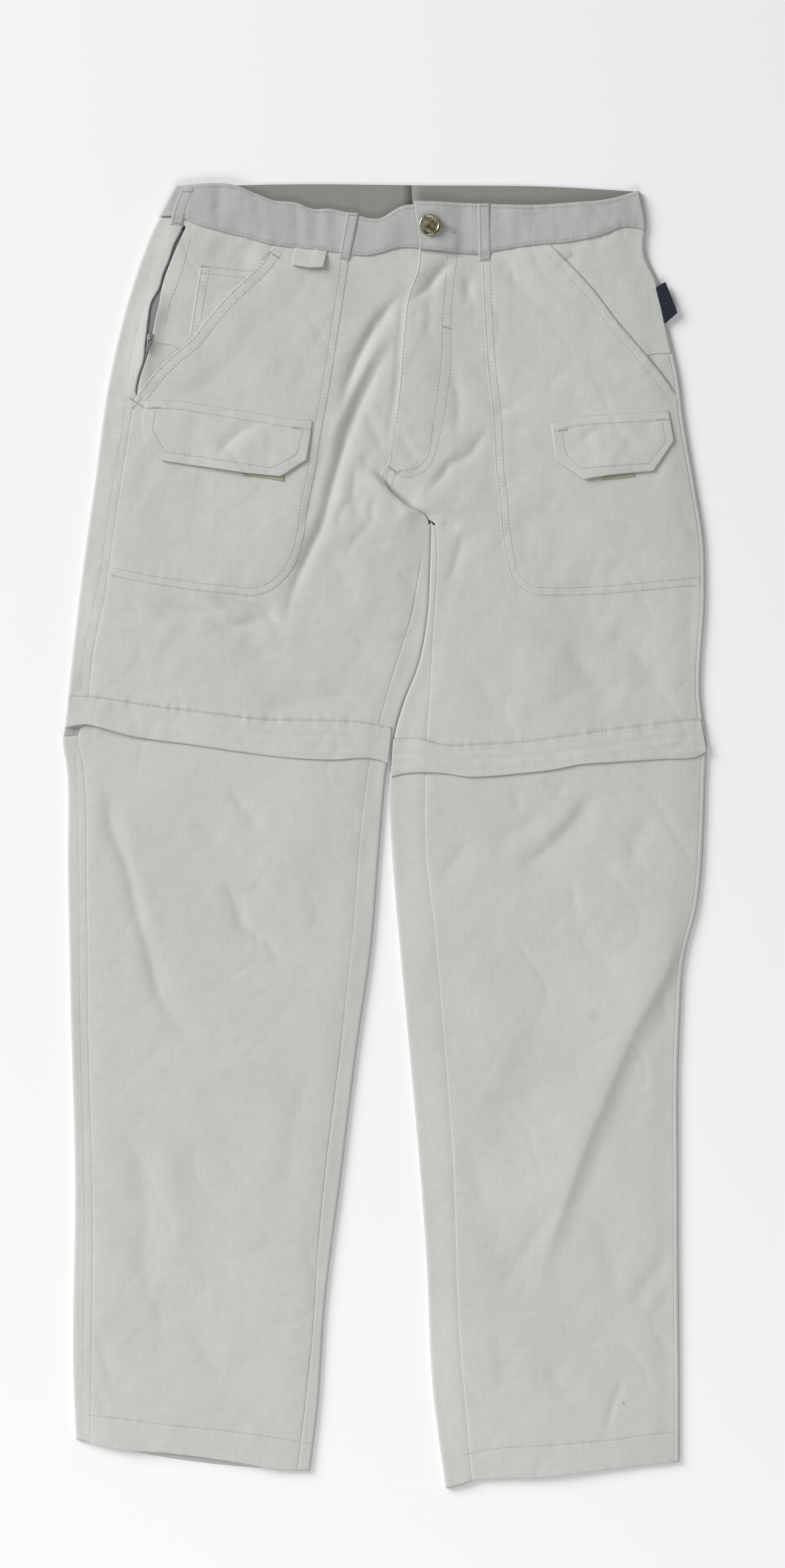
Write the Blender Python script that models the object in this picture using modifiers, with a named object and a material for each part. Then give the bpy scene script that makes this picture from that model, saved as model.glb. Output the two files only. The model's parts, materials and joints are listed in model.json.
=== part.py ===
"""Convertible zip-off trousers, laid flat with the front up.

+X is the picture's right, +Y runs from the hems to the waist, +Z is up. The origin is the bottom centre
of the whole garment's box. Lengths are in millimetres here and become metres when an object is made.
"Left" and "right" are as seen from above, with the waist at the top.
"""
import math
from collections import namedtuple

import bmesh
import bpy
from mathutils import Matrix, Vector
from mathutils.bvhtree import BVHTree

METRE = 0.001

# Driving dimensions
CLOTH = 1.2             # wall of one layer of cloth
BAND = 2.4              # the waistband is doubled
GAP = 0.35              # between pieces at a seam, and between layers
LAYER = CLOTH + GAP     # from one layer's middle to the next
WAIST_GAP = 0.7         # between the waistband and the panels below it
ROLL = 1.7              # radius of the folds at the sides of the legs
RISE = 1.4              # how far the front stands above those folds
RISE_REACH = 28.0       # how far in from the side it gets there
FLOOR_CLEAR = 2.3       # lowest middle of the front cloth, which lies on the back
CROTCH_Y = 264.0
KNEE_ZIP = 7.0          # width of the zip round each leg
FLY_TUCK = 8.0          # how far the left front runs on under the right one
FLY_TUCK_END = (306.0, 292.0)
OVERLAP_FLAT = 13.0     # the right front lies flat on the left this far, and is down again OVERLAP_SLOPE on
OVERLAP_SLOPE = 30.0
OVERLAP_CLEAR = 0.8
FACING_TUCK = 8.0       # the hip facings run on under the patch pockets' slanted edges
FACING_FLAT = 16.0      # a patch pocket stays two layers up this far past the facing
SLANT_FOOT_Y = 362.0    # lower end of the slanted edges
HOOK_T = 0.8            # hook tape
BUTTON_AT = (37.0, 501.0)
BUTTON_R = 8.8
BUTTON_T = 2.6

# Grid of the cloth
FRONT_COLUMNS = 18
WRAP_COLUMNS = 2
BACK_COLUMNS = 2
ARC_STEPS = 4
ROWS_ABOVE_CROTCH = 12
ROWS_BELOW_CROTCH = 10
LOWER_ROWS = 25
CROTCH_ROW_GAP = 0.02   # a row this share of the length above the crotch

# Lines down the garment: (y, x)
LEFT_OUTLINE = [(535, -171), (493, -192), (448, -208), (415, -217), (374, -226), (288, -238), (217, -248),
                (140, -257), (93, -262), (80, -264), (58, -261), (-24, -260), (-162, -257), (-274, -254),
                (-452, -255), (-494, -253)]
LEFT_OUTSEAM = [(535, -163), (508, -166), (486, -173), (462, -181), (438, -187), (412, -192), (361, -204),
                (320, -211), (255, -221), (193, -230), (154, -238), (95, -247), (85, -251), (58, -247),
                (-40, -244), (-162, -243), (-312, -239), (-487, -241)]
RIGHT_OUTLINE = [(534, 208), (507, 214), (475, 215), (458, 223), (418, 232), (379, 241), (341, 246), (288, 255),
                 (243, 262), (202, 263), (108, 260), (80, 264), (43, 263), (9, 262), (-60, 256), (-95, 247),
                 (-162, 242), (-295, 241), (-472, 242), (-512, 242)]
RIGHT_OUTSEAM = [(y, x - 4) for y, x in RIGHT_OUTLINE]
FLY = [(521, 24), (482, 28), (469, 27), (441, 18), (416, 15), (367, 11), (309, 3), (293, 1), (273, 18)]
LEFT_INSEAM = [(264, 33.5), (222, 29), (175, 20), (135, 7), (99, -3), (63, -12), (18, -18), (-78, -26),
               (-162, -35), (-296, -51), (-430, -61), (-518, -71)]
RIGHT_INSEAM = [(264, 42), (222, 43), (175, 40), (113, 37), (58, 34), (-12, 34), (-77, 41), (-157, 48),
                (-261, 56), (-401, 61), (-528, 72)]
LEFT_INNER = [(264, 37), (222, 36), (175, 33), (141, 26), (111, 14), (82, 6), (60, 2), (5, -3),
              (-101, -12), (-162, -21), (-274, -35), (-385, -49), (-471, -55), (-520, -61)]
RIGHT_INNER = [(264, 39), (222, 38), (175, 35.5), (141, 29), (111, 17), (82, 9), (50, 4), (-12, 6),
               (-108, 14), (-162, 19), (-342, 34), (-459, 40), (-534, 50)]
CENTRE_BACK = [(536, 22), (265, 34)]

# Lines across the garment: (x, y)
BAND_TOP_LEFT = [(-171, 534), (-122, 534), (-104, 527), (-72, 520), (-44, 515), (-1, 508), (14, 517), (36, 521)]
BAND_TOP_RIGHT = [(24, 521), (87, 519), (113, 518), (184, 523), (208, 530)]
BACK_BAND_TOP = [(-171, 534), (-66, 536), (34, 535), (134, 534), (208, 530)]
WAIST_LEFT = [(-186, 509), (-166, 508), (-136, 497), (-112, 491), (-71, 483), (-12, 477), (11, 483), (36, 482)]
WAIST_RIGHT = [(26, 482), (77, 478), (120, 485), (153, 488), (194, 500), (216, 497)]
BACK_WAIST = [(-186, 509), (-116, 498), (34, 496), (134, 497), (216, 497)]
KNEE_LEFT = [(-264, 86), (-216, 89), (-166, 85), (-91, 77), (-46, 73), (8, 69)]
KNEE_RIGHT = [(4, 57), (48, 60), (87, 58), (140, 64), (188, 69), (264, 77)]
HEM_LEFT = [(-253, -494), (-218, -502), (-163, -507), (-114, -514), (-61, -520)]
BACK_HEM_LEFT = [(-253, -494), (-228, -500), (-193, -507), (-152, -513), (-100, -518), (-61, -520)]
HEM_RIGHT = [(50, -534.5), (72, -528), (108, -525), (141, -523), (203, -516), (243, -512)]

# Largest folds of the front: start, middle and end of the crease, its depth and its half width
Fold = namedtuple("Fold", "x0 y0 xm ym x1 y1 depth width")
FOLDS = [
    Fold(24, 457, -10, 406, -35, 358, -1.6, 13),
    Fold(11, 414, -15, 365, -42, 291, -2.2, 13),
    Fold(-42, 291, -66, 225, -89, 162, -1.8, 14),
    Fold(-22, 300, 0, 268, 24, 250, 2.0, 15),
    Fold(-188, 190, -136, 191, -88, 165, -1.6, 14),
    Fold(81, 464, 68, 451, 66, 434, -1.0, 12),
    Fold(73, 383, 100, 368, 114, 359, -1.0, 13),
    Fold(77, 322, 52, 304, 30, 280, -1.4, 13),
    Fold(63, 253, 62, 238, 51, 205, -1.6, 12),
    Fold(-240, 59, -214, -30, -171, -147, -1.5, 15),
    Fold(-131, -33, -114, -78, -79, -111, -1.3, 15),
    Fold(-213, -235, -195, -307, -193, -380, -1.3, 15),
    Fold(-161, -401, -132, -438, -108, -442, -1.2, 14),
    Fold(243, -90, 206, -162, 123, -386, -2.4, 14),
    Fold(236, -62, 186, -160, 100, -375, 2.6, 20),
    Fold(150, -287, 117, -337, 84, -388, -1.3, 15),
    Fold(195, -447, 187, -466, 180, -491, -1.5, 13),
    Fold(170, 35, 146, 6, 114, -21, -1.3, 14),
    Fold(218, 14, 203, -7, 206, -26, -1.2, 14),
    Fold(69, -249, 76, -278, 82, -307, -1.0, 14),
]

# Outlines of what is sewn on the front: (x, y) round each piece
SLANT_LEFT = [(-91, 484), (-114, 459), (-147, 423), (-174, 396), (-203, 362)]
SLANT_RIGHT = [(137, 485), (173, 446), (214, 396), (242, 359)]
HIP_FACING_LEFT = [(-78, 520), (-84, 479), (-107, 454), (-141, 417), (-164, 395), (-169, 401), (-174, 403),
                   (-189, 405), (-186.5, 419), (-180.5, 446), (-173, 471), (-165, 495), (-158, 520)]
HIP_FACING_RIGHT = [(126, 520), (131, 480), (167, 441), (208, 391), (216, 395), (237, 397), (280, 397),
                    (280, 520)]
COIN_POCKET = [(-151, 469), (-113, 465), (-149, 424.5), (-160, 412)]
PATCH_LEFT = SLANT_LEFT + [(-270, 362), (-270, 217), (-225, 214), (-175, 205), (-128, 199), (-105, 198),
                           (-90, 204), (-79, 214), (-70, 230), (-62, 272), (-52, 328), (-40, 398), (-29, 470),
                           (-27, 520), (-88, 520)]
PATCH_RIGHT = SLANT_RIGHT + [(290, 359), (290, 206), (219, 202), (177, 199), (123, 198), (112, 204),
                             (103, 213), (99, 228), (93, 278), (89, 328), (85, 379), (80, 443), (79, 520),
                             (134, 520)]
FLAP_LEFT = [(-195, 358), (-147, 354), (-59, 341), (-61, 326), (-64, 309), (-85, 295), (-142, 303),
             (-183, 309), (-199, 328)]
FLAP_RIGHT = [(137, 339), (153, 343), (197, 347), (233, 349), (237, 325), (220, 300), (181, 296), (163, 293),
              (140, 309)]
HOOK_TAPE_LEFT = [(-116, 310), (-82, 306), (-82, 291.5), (-116, 296)]
HOOK_TAPE_RIGHT = [(177, 306), (205, 310), (205, 295.5), (178, 292.5)]
SIDE_ZIP_TAPE = [(-172, 492), (-179, 470), (-187, 445), (-193, 418), (-199, 395), (-206, 369), (-200.5, 368),
                 (-193.5, 395), (-187.5, 419), (-181.5, 446), (-174, 471), (-166, 492)]
KNEE_COVER_LEFT = [(-259, 117), (-214, 112), (-143, 102), (-61, 96), (5, 90), (2, 60), (-45, 64), (-82, 66),
                   (-163, 77), (-229, 89), (-245, 93), (-261, 90)]
KNEE_COVER_RIGHT = [(8, 81), (27, 82), (48, 76), (81, 77), (120, 79), (198, 90), (258, 97), (262, 88),
                    (263, 69), (227, 64), (159, 60), (109, 52), (70, 50), (48, 53), (27, 53), (6, 50)]

# Strips laid over what is below them: the two long sides, from the top down
Strip = namedtuple("Strip", "name kind thickness one_side other_side rows")
STRIPS = [
    Strip("belt_loop_side_left", "cloth", 1.2, [(-167, 531), (-172, 518), (-176, 502)],
          [(-157, 531), (-161, 518), (-166, 501)], 5),
    Strip("belt_loop_front_left", "cloth", 1.2, [(-31, 511), (-38, 474)], [(-21, 510), (-29, 472)], 6),
    Strip("belt_loop_front_right", "cloth", 1.2, [(76, 518), (77, 472)], [(86, 518.5), (87, 472)], 6),
    Strip("hanging_tab", "cloth", 2.0, [(-72, 479), (-76, 468)], [(-46, 475), (-50, 466)], 3),
    Strip("label_tab", "label", 1.0, [(222, 451), (229, 421)], [(230, 456), (240, 430)], 3),
]

# The zip of the pocket in the left side seam
SLIDER_AT = (-192.0, 408.0)
SLIDER_TURN = math.radians(-12)     # its length leans this far from the garment's
SLIDER_W = 5.0
SLIDER_L = 9.0
SLIDER_T = 1.8
BAIL_R = 1.35                       # the arch that holds the pull, to its wire's middle
BAIL_WIRE = 0.4
AXIS_RISE = 0.75                    # the pull's axis above the slider's face
PULL_W = 3.8
PULL_L = 11.5
PULL_T = 0.8
PULL_ARM = 1.0                      # each side of the pull's eye
PULL_EYE = 2.4

# Colour, roughness and metallic value of each kind of material
COLOURS = {
    "cloth": ((0.53, 0.55, 0.52, 1.0), 0.85, 0.0),
    "tape": ((0.30, 0.31, 0.29, 1.0), 0.8, 0.0),
    "hook": ((0.42, 0.44, 0.40, 1.0), 0.95, 0.0),
    "label": ((0.02, 0.025, 0.05, 1.0), 0.7, 0.0),
    "metal": ((0.36, 0.34, 0.22, 1.0), 0.35, 1.0),
}

Half = namedtuple("Half", "name inward outline outseam centre inseam inner tuck band_top waist "
                          "back_band_top back_waist knee hem back_hem")
LEFT = Half("left", 1, LEFT_OUTLINE, LEFT_OUTSEAM, FLY, LEFT_INSEAM, LEFT_INNER, FLY_TUCK, BAND_TOP_LEFT,
            WAIST_LEFT, BACK_BAND_TOP, BACK_WAIST, KNEE_LEFT, HEM_LEFT, BACK_HEM_LEFT)
RIGHT = Half("right", -1, RIGHT_OUTLINE, RIGHT_OUTSEAM, FLY, RIGHT_INSEAM, RIGHT_INNER, 0.0, BAND_TOP_RIGHT,
             WAIST_RIGHT, BACK_BAND_TOP, BACK_WAIST, KNEE_RIGHT, HEM_RIGHT, HEM_RIGHT)

# A stretch of the garment between two lines, each a table and how far below it the edge runs
Section = namedtuple("Section", "top bottom back_top back_bottom thickness rows")


def mix(a, b, share):
    return a + (b - a) * share


def smooth(share):
    share = min(max(share, 0.0), 1.0)
    return share * share * (3 - 2 * share)


def at(table, value):
    """The table's second column at this value of the first, straight between its rows."""
    rows = table if table[0][0] < table[-1][0] else table[::-1]
    if value <= rows[0][0]:
        return rows[0][1]
    for (v0, w0), (v1, w1) in zip(rows, rows[1:]):
        if value <= v1:
            return mix(w0, w1, (value - v0) / (v1 - v0))
    return rows[-1][1]


def crease(fold, steps=8):
    """Points along a fold's crease: a parabola through its start, middle and end."""
    start, middle, end = Vector((fold.x0, fold.y0)), Vector((fold.xm, fold.ym)), Vector((fold.x1, fold.y1))
    pull = middle * 2 - (start + end) / 2
    shares = [i / steps for i in range(steps + 1)]
    return [start * (1 - s) ** 2 + pull * 2 * s * (1 - s) + end * s ** 2 for s in shares]


CREASES = [(fold, crease(fold)) for fold in FOLDS]


def away(point, line):
    """Distance from a point to a line of points, and how far along the line that is, 0 to 1."""
    best, share = 1e9, 0.0
    for i, (a, b) in enumerate(zip(line, line[1:])):
        run = b - a
        s = min(max((point - a).dot(run) / run.length_squared, 0.0), 1.0)
        distance = (a + run * s - point).length
        if distance < best:
            best, share = distance, (i + s) / (len(line) - 1)
    return best, share


def folds(x, y):
    total = 0.0
    for fold, line in CREASES:
        distance, share = away(Vector((x, y)), line)
        if distance < 3 * fold.width:
            ends = smooth(min(share, 1 - share) / 0.25 + 0.15)
            total += fold.depth * ends * math.exp(-(distance / fold.width) ** 2)
    return total


def height(half, x, y):
    """Middle of the front cloth, before anything laps over it."""
    side = abs(x - at(half.outline, y))
    if y < CROTCH_Y + 20:
        inner = abs(x - at(half.inner, y))
        side = min(side, inner + 200 * smooth((y - CROTCH_Y) / 20))
    z = CLOTH / 2 + 2 * ROLL + RISE * smooth(side / RISE_REACH) + folds(x, y) * smooth(side / 14)
    return max(z, FLOOR_CLEAR)


def overlap_lift(half, thickness, x, y):
    """The right front and waistband lie on the left ones along the fly."""
    if half is LEFT:
        return 0.0
    along = 1 - smooth((x - at(FLY, y) - OVERLAP_FLAT) / OVERLAP_SLOPE)
    return (thickness + OVERLAP_CLEAR) * along * smooth((y - CROTCH_Y - 6) / 22)


def across(half, group, share, y, forked):
    """x of a point of a group of columns at height y. Groups run from the side to the middle."""
    outer_roll = at(half.outline, y) + half.inward * (CLOTH / 2 + ROLL)
    inner_roll = at(half.inner, y) - half.inward * (CLOTH / 2 + ROLL)
    gap = half.inward * GAP / 2
    if group == "outer_wrap":
        return mix(outer_roll, at(half.outseam, y) - gap, share)
    if group == "front":
        if forked:
            middle = at(half.inseam, y) - gap
        else:
            tuck = mix(0.0, half.tuck, smooth((y - FLY_TUCK_END[1]) / (FLY_TUCK_END[0] - FLY_TUCK_END[1])))
            middle = at(half.centre, y) - gap + tuck
        return mix(at(half.outseam, y) + gap, middle, share)
    if group == "inner_wrap":
        return mix(at(half.inseam, y) + gap, inner_roll, share)
    middle = inner_roll if forked else at(CENTRE_BACK, y) - gap
    return mix(outer_roll, middle, share)


def meet(half, group, share, line, forked):
    """y where a column crosses a line across the garment."""
    table, below = line
    y = at(table, 0.0)
    for _ in range(6):
        y = at(table, across(half, group, share, y, forked)) - below
    return y


def place(half, section, group, share, down, forked):
    """A point of a section's mid-surface: down is 0 at its upper edge and 1 at its lower."""
    if group in ("outer_arc", "inner_arc"):
        return place_on_arc(half, section, group, share, down, forked)
    back = group == "back"
    top, bottom = (section.back_top, section.back_bottom) if back else (section.top, section.bottom)
    y = mix(meet(half, group, share, top, forked), meet(half, group, share, bottom, forked), down)
    x = across(half, group, share, y, forked)
    if back:
        return Vector((x, y, section.thickness / 2))
    z = height(half, x, y) + (section.thickness - CLOTH) / 2
    if group == "front":
        z += overlap_lift(half, section.thickness, x, y)
    return Vector((x, y, z))


def place_on_arc(half, section, group, share, down, forked):
    """A point of a side fold: share is 0 at its upper end and 1 at its lower."""
    if group == "outer_arc":
        upper = place(half, section, "outer_wrap", 0, down, forked)
        lower = place(half, section, "back", 0, down, forked)
        bulge = -half.inward * ROLL
    else:
        upper = place(half, section, "inner_wrap", 1, down, forked)
        lower = place(half, section, "back", 1, down, forked)
        bulge = half.inward * ROLL
    point = upper.lerp(lower, share)
    point.x += bulge * math.sin(math.pi * share)
    point.z = mix(lower.z, upper.z, (1 + math.cos(math.pi * share)) / 2)
    return point


def columns(group, count, reverse=False):
    shares = [i / count for i in range(count + 1)]
    return [(group, share) for share in (shares[::-1] if reverse else shares)]


def arc(group, reverse=False):
    shares = [i / ARC_STEPS for i in range(1, ARC_STEPS)]
    return [(group, share) for share in (shares[::-1] if reverse else shares)]


FRONT = columns("front", FRONT_COLUMNS)
OUTER_WRAP = columns("outer_wrap", WRAP_COLUMNS)
INNER_WRAP = columns("inner_wrap", WRAP_COLUMNS)
TOP = OUTER_WRAP + FRONT + INNER_WRAP
OUTER_SIDE = columns("outer_wrap", WRAP_COLUMNS, True) + arc("outer_arc")
BACK = OUTER_SIDE + columns("back", BACK_COLUMNS) + arc("inner_arc", True) + INNER_WRAP[::-1]
BAND_LOOP = FRONT[::-1] + OUTER_SIDE + columns("back", BACK_COLUMNS)
INNER_GROUPS = ("inner_arc", "inner_wrap")


def grid(half, section, wanted):
    """Rows of points. A column of the leg's inner side has none above the crotch."""
    rows = []
    for down, forked in section.rows:
        rows.append([place(half, section, group, share, down, forked) if forked or group not in INNER_GROUPS
                     else None for group, share in wanted])
    return rows


def cloth_mesh(rows, closed=False):
    """Triangles between rows of points, leaving out those with no point."""
    bm = bmesh.new()
    verts = [[bm.verts.new(p) if p is not None else None for p in row] for row in rows]
    for upper, lower in zip(verts, verts[1:]):
        pairs = list(zip(range(len(upper)), range(1, len(upper))))
        if closed:
            pairs.append((len(upper) - 1, 0))
        for i, j in pairs:
            if None not in (upper[i], upper[j], lower[i], lower[j]):
                bm.faces.new((upper[i], lower[i], lower[j]))
                bm.faces.new((upper[i], lower[j], upper[j]))
    bmesh.ops.recalc_face_normals(bm, faces=bm.faces)
    return bm


def material(name, kind):
    colour, roughness, metallic = COLOURS[kind]
    made = bpy.data.materials.new(name)
    made.use_nodes = True
    shader = made.node_tree.nodes["Principled BSDF"]
    shader.inputs["Base Color"].default_value = colour
    shader.inputs["Roughness"].default_value = roughness
    shader.inputs["Metallic"].default_value = metallic
    return made


def add_object(name, bm, kind):
    """Makes an object of a mesh in millimetres, in the garment's collection."""
    mesh = bpy.data.meshes.new(name)
    bmesh.ops.scale(bm, vec=(METRE, METRE, METRE), verts=bm.verts)
    bm.to_mesh(mesh)
    bm.free()
    mesh.materials.append(material(name, kind))
    made = bpy.data.objects.new(name, mesh)
    GARMENT.objects.link(made)
    return made


def cloth_object(name, bm, thickness=CLOTH, kind="cloth"):
    """A wall of cloth on both sides of a mid-surface."""
    made = add_object(name, bm, kind)
    wall = made.modifiers.new("wall", "SOLIDIFY")
    wall.thickness = thickness * METRE
    wall.offset = 0.0
    wall.use_even_offset = True
    wall.use_quality_normals = True
    return made


def inside(x, y, outline):
    """Whether a point is inside an outline."""
    found = False
    for (x0, y0), (x1, y1) in zip(outline, outline[1:] + outline[:1]):
        if (y0 > y) != (y1 > y) and x < x0 + (y - y0) / (y1 - y0) * (x1 - x0):
            found = not found
    return found


def cut_along(bm, start, end):
    """Splits the faces near a stretch of an outline along its line."""
    low = (min(start[0], end[0]) - 1, min(start[1], end[1]) - 1)
    high = (max(start[0], end[0]) + 1, max(start[1], end[1]) + 1)
    near = []
    for face in bm.faces:
        xs = [v.co.x for v in face.verts]
        ys = [v.co.y for v in face.verts]
        if max(xs) > low[0] and min(xs) < high[0] and max(ys) > low[1] and min(ys) < high[1]:
            near.append(face)
    edges = {edge for face in near for edge in face.edges}
    verts = {vert for face in near for vert in face.verts}
    normal = (end[1] - start[1], start[0] - end[0], 0)
    bmesh.ops.bisect_plane(bm, geom=near + list(edges) + list(verts), dist=0.02, plane_co=(*start, 0),
                           plane_no=normal)


def clip(bm, outline):
    """Keeps what lies inside an outline."""
    for start, end in zip(outline, outline[1:] + outline[:1]):
        cut_along(bm, start, end)
    outside = [f for f in bm.faces if not inside(*f.calc_center_median().xy, outline)]
    bmesh.ops.delete(bm, geom=outside, context="FACES")
    bmesh.ops.dissolve_limit(bm, angle_limit=math.radians(0.05), verts=bm.verts, edges=bm.edges)
    bmesh.ops.remove_doubles(bm, verts=bm.verts, dist=0.03)
    bmesh.ops.triangulate(bm, faces=bm.faces)


def sewn_on(name, rows, outline, lift, thickness=CLOTH, kind="cloth"):
    """A piece of the front's own points, moved out by lift(x, y) and cut to an outline."""
    bm = cloth_mesh(rows)
    bm.normal_update()
    upward = 1 if sum(face.normal.z for face in bm.faces) > 0 else -1
    moved = [(vert, vert.normal * upward * lift(vert.co.x, vert.co.y)) for vert in bm.verts]
    for vert, step in moved:
        vert.co += step
    clip(bm, outline)
    return cloth_object(name, bm, thickness, kind)


def one_layer(x, y):
    return LAYER


def two_layers(x, y):
    return 2 * LAYER


def patch_lift(slant):
    """A patch pocket is one layer up, and two along its slanted edge, where the facing runs under it."""
    line = [Vector(p) for p in slant]

    def lift(x, y):
        distance, _ = away(Vector((x, y)), line)
        along = smooth((y - SLANT_FOOT_Y) / 14)
        return LAYER * (1 + along * (1 - smooth((distance - FACING_TUCK - FACING_FLAT) / 18)))
    return lift


def flap_lift(x, y):
    """A flap lies on the patch pocket at its seam and on the hook tape at its free edge."""
    return 2 * LAYER + 1.4 * smooth((345 - y) / 28)


def hook_lift(x, y):
    return LAYER + CLOTH / 2 + GAP + HOOK_T / 2


def shares_down(count, start=0.0, end=1.0):
    return [mix(start, end, i / count) for i in range(count + 1)]


def upper_rows(half):
    """Rows of an upper leg, with one at the crotch and one just above it."""
    top = meet(half, "front", 1, (half.waist, WAIST_GAP), False)
    bottom = meet(half, "front", 1, (half.knee, 0), True)
    crotch = (top - CROTCH_Y) / (top - bottom)
    above = shares_down(ROWS_ABOVE_CROTCH, 0.0, crotch - CROTCH_ROW_GAP)
    below = shares_down(ROWS_BELOW_CROTCH, crotch, 1.0)
    return [(share, False) for share in above] + [(share, True) for share in below]


def sections(half):
    """The waistband, upper leg, knee zip and lower leg of one half."""
    zip_half = KNEE_ZIP / 2
    open_rows = [(share, False) for share in (0.0, 0.5, 1.0)]
    band = Section((half.band_top, 0), (half.waist, 0), (half.back_band_top, 0), (half.back_waist, 0),
                   BAND, open_rows)
    knee_end = (half.knee, -zip_half - GAP)
    upper = Section((half.waist, WAIST_GAP), knee_end, (half.back_waist, WAIST_GAP), knee_end, CLOTH,
                    upper_rows(half))
    ring_top, ring_bottom = (half.knee, -zip_half), (half.knee, zip_half)
    ring = Section(ring_top, ring_bottom, ring_top, ring_bottom, CLOTH, [(0.0, True), (1.0, True)])
    knee_start = (half.knee, zip_half + GAP)
    lower = Section(knee_start, (half.hem, 0), knee_start, (half.back_hem, 0), CLOTH,
                    [(share, True) for share in shares_down(LOWER_ROWS)])
    return band, upper, ring, lower


def build_half(half):
    """The panels of one side, and the rows that the pieces sewn on them are made from."""
    band, upper, ring, lower = sections(half)
    cloth_object("waistband_" + half.name, cloth_mesh(grid(half, band, BAND_LOOP)), BAND)
    cloth_object("front_" + half.name, cloth_mesh(grid(half, upper, FRONT)))
    cloth_object("back_" + half.name, cloth_mesh(grid(half, upper, BACK)))
    round_leg = FRONT[::-1] + BACK
    cloth_object("knee_zip_" + half.name, cloth_mesh(grid(half, ring, round_leg), True), kind="tape")
    cloth_object("lower_front_" + half.name, cloth_mesh(grid(half, lower, FRONT)))
    cloth_object("lower_back_" + half.name, cloth_mesh(grid(half, lower, BACK)))
    near_knee = grid(half, upper, TOP)[-5:] + grid(half, ring, TOP) + grid(half, lower, TOP)[:4]
    return grid(half, upper, FRONT), grid(half, upper, TOP), near_knee


def surface_below():
    """A search tree of everything made so far, in metres."""
    bpy.context.view_layer.update()
    graph = bpy.context.evaluated_depsgraph_get()
    verts, faces = [], []
    for made in GARMENT.objects:
        mesh = made.evaluated_get(graph).to_mesh()
        first = len(verts)
        verts += [made.matrix_world @ v.co for v in mesh.vertices]
        faces += [[first + i for i in polygon.vertices] for polygon in mesh.polygons]
    return BVHTree.FromPolygons(verts, faces)


def top_at(tree, x, y):
    """Height of what is below a point, in millimetres."""
    hit = tree.ray_cast(Vector((x * METRE, y * METRE, 1.0)), Vector((0, 0, -1)))[0]
    return 0.0 if hit is None else hit.z / METRE


def highest(tree, x, y, reach, samples=5):
    """Highest point of what is below a small square."""
    steps = [reach * (2 * i / (samples - 1) - 1) for i in range(samples)]
    return max(top_at(tree, x + dx, y + dy) for dx in steps for dy in steps)


def along_side(side, share):
    """A point part of the way down a side of a strip."""
    spot = share * (len(side) - 1)
    i = min(int(spot), len(side) - 2)
    return Vector(side[i]).lerp(Vector(side[i + 1]), spot - i)


def highest_under(tree, strip, share, step):
    """Highest point below a strip, as far as its next rows."""
    best = 0.0
    for i in range(-3, 4):
        spot = min(max(share + step * i / 3, 0.0), 1.0)
        a, b = along_side(strip.one_side, spot), along_side(strip.other_side, spot)
        for k in range(7):
            point = a.lerp(b, k / 6)
            best = max(best, top_at(tree, point.x, point.y))
    return best


def add_strip(strip, tree):
    """A strip laid just clear of what is below it."""
    rows = []
    step = 1 / (strip.rows - 1)
    for share in shares_down(strip.rows - 1):
        a, b = along_side(strip.one_side, share), along_side(strip.other_side, share)
        z = highest_under(tree, strip, share, step) + GAP + strip.thickness / 2
        rows.append([Vector((p.x, p.y, z)) for p in (a, (a + b) / 2, b)])
    return cloth_object(strip.name, cloth_mesh(rows), strip.thickness, strip.kind)


def add_button(tree):
    """A turned metal button with a raised rim, on the waistband at the fly."""
    x, y = BUTTON_AT
    profile = [(0, 0.62), (0.35, 0.66), (0.62, 0.62), (0.74, 0.72), (0.84, 1.0), (0.93, 0.98), (1.0, 0.8),
               (0.98, 0.4), (0.86, 0.12), (0.7, 0.0), (0, 0)]
    bm = bmesh.new()
    verts = [bm.verts.new((r * BUTTON_R * METRE, 0, z * BUTTON_T * METRE)) for r, z in profile]
    for a, b in zip(verts, verts[1:]):
        bm.edges.new((a, b))
    mesh = bpy.data.meshes.new("waist_button")
    bm.to_mesh(mesh)
    bm.free()
    mesh.materials.append(material("waist_button", "metal"))
    button = bpy.data.objects.new("waist_button", mesh)
    turn = button.modifiers.new("turn", "SCREW")
    turn.steps = turn.render_steps = 24
    turn.use_merge_vertices = True
    turn.merge_threshold = 0.00001
    z = highest(tree, x, y, BUTTON_R * 0.72) + GAP
    button.location = (x * METRE, y * METRE, z * METRE)
    GARMENT.objects.link(button)


def box(size, centre):
    """A box's mesh in millimetres."""
    bm = bmesh.new()
    bmesh.ops.create_cube(bm, size=1.0)
    bmesh.ops.scale(bm, vec=size, verts=bm.verts)
    bmesh.ops.translate(bm, vec=centre, verts=bm.verts)
    return bm


def hidden_piece(name, bm):
    """A piece that a Boolean joins to another or cuts from it."""
    mesh = bpy.data.meshes.new(name)
    bmesh.ops.scale(bm, vec=(METRE, METRE, METRE), verts=bm.verts)
    bm.to_mesh(mesh)
    bm.free()
    piece = bpy.data.objects.new(name, mesh)
    piece.hide_render = True
    piece.display_type = "WIRE"
    HIDDEN.objects.link(piece)
    return piece


def join(made, pieces, operation):
    for piece in pieces:
        boolean = made.modifiers.new(piece.name, "BOOLEAN")
        boolean.operation = operation
        boolean.object = piece


def wire_rod(radius, length, sides=10):
    """A round rod along X."""
    bm = bmesh.new()
    bmesh.ops.create_cone(bm, cap_ends=True, segments=sides, radius1=radius, radius2=radius, depth=length)
    bmesh.ops.rotate(bm, matrix=Matrix.Rotation(math.pi / 2, 3, "Y"), verts=bm.verts)
    return bm


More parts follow.
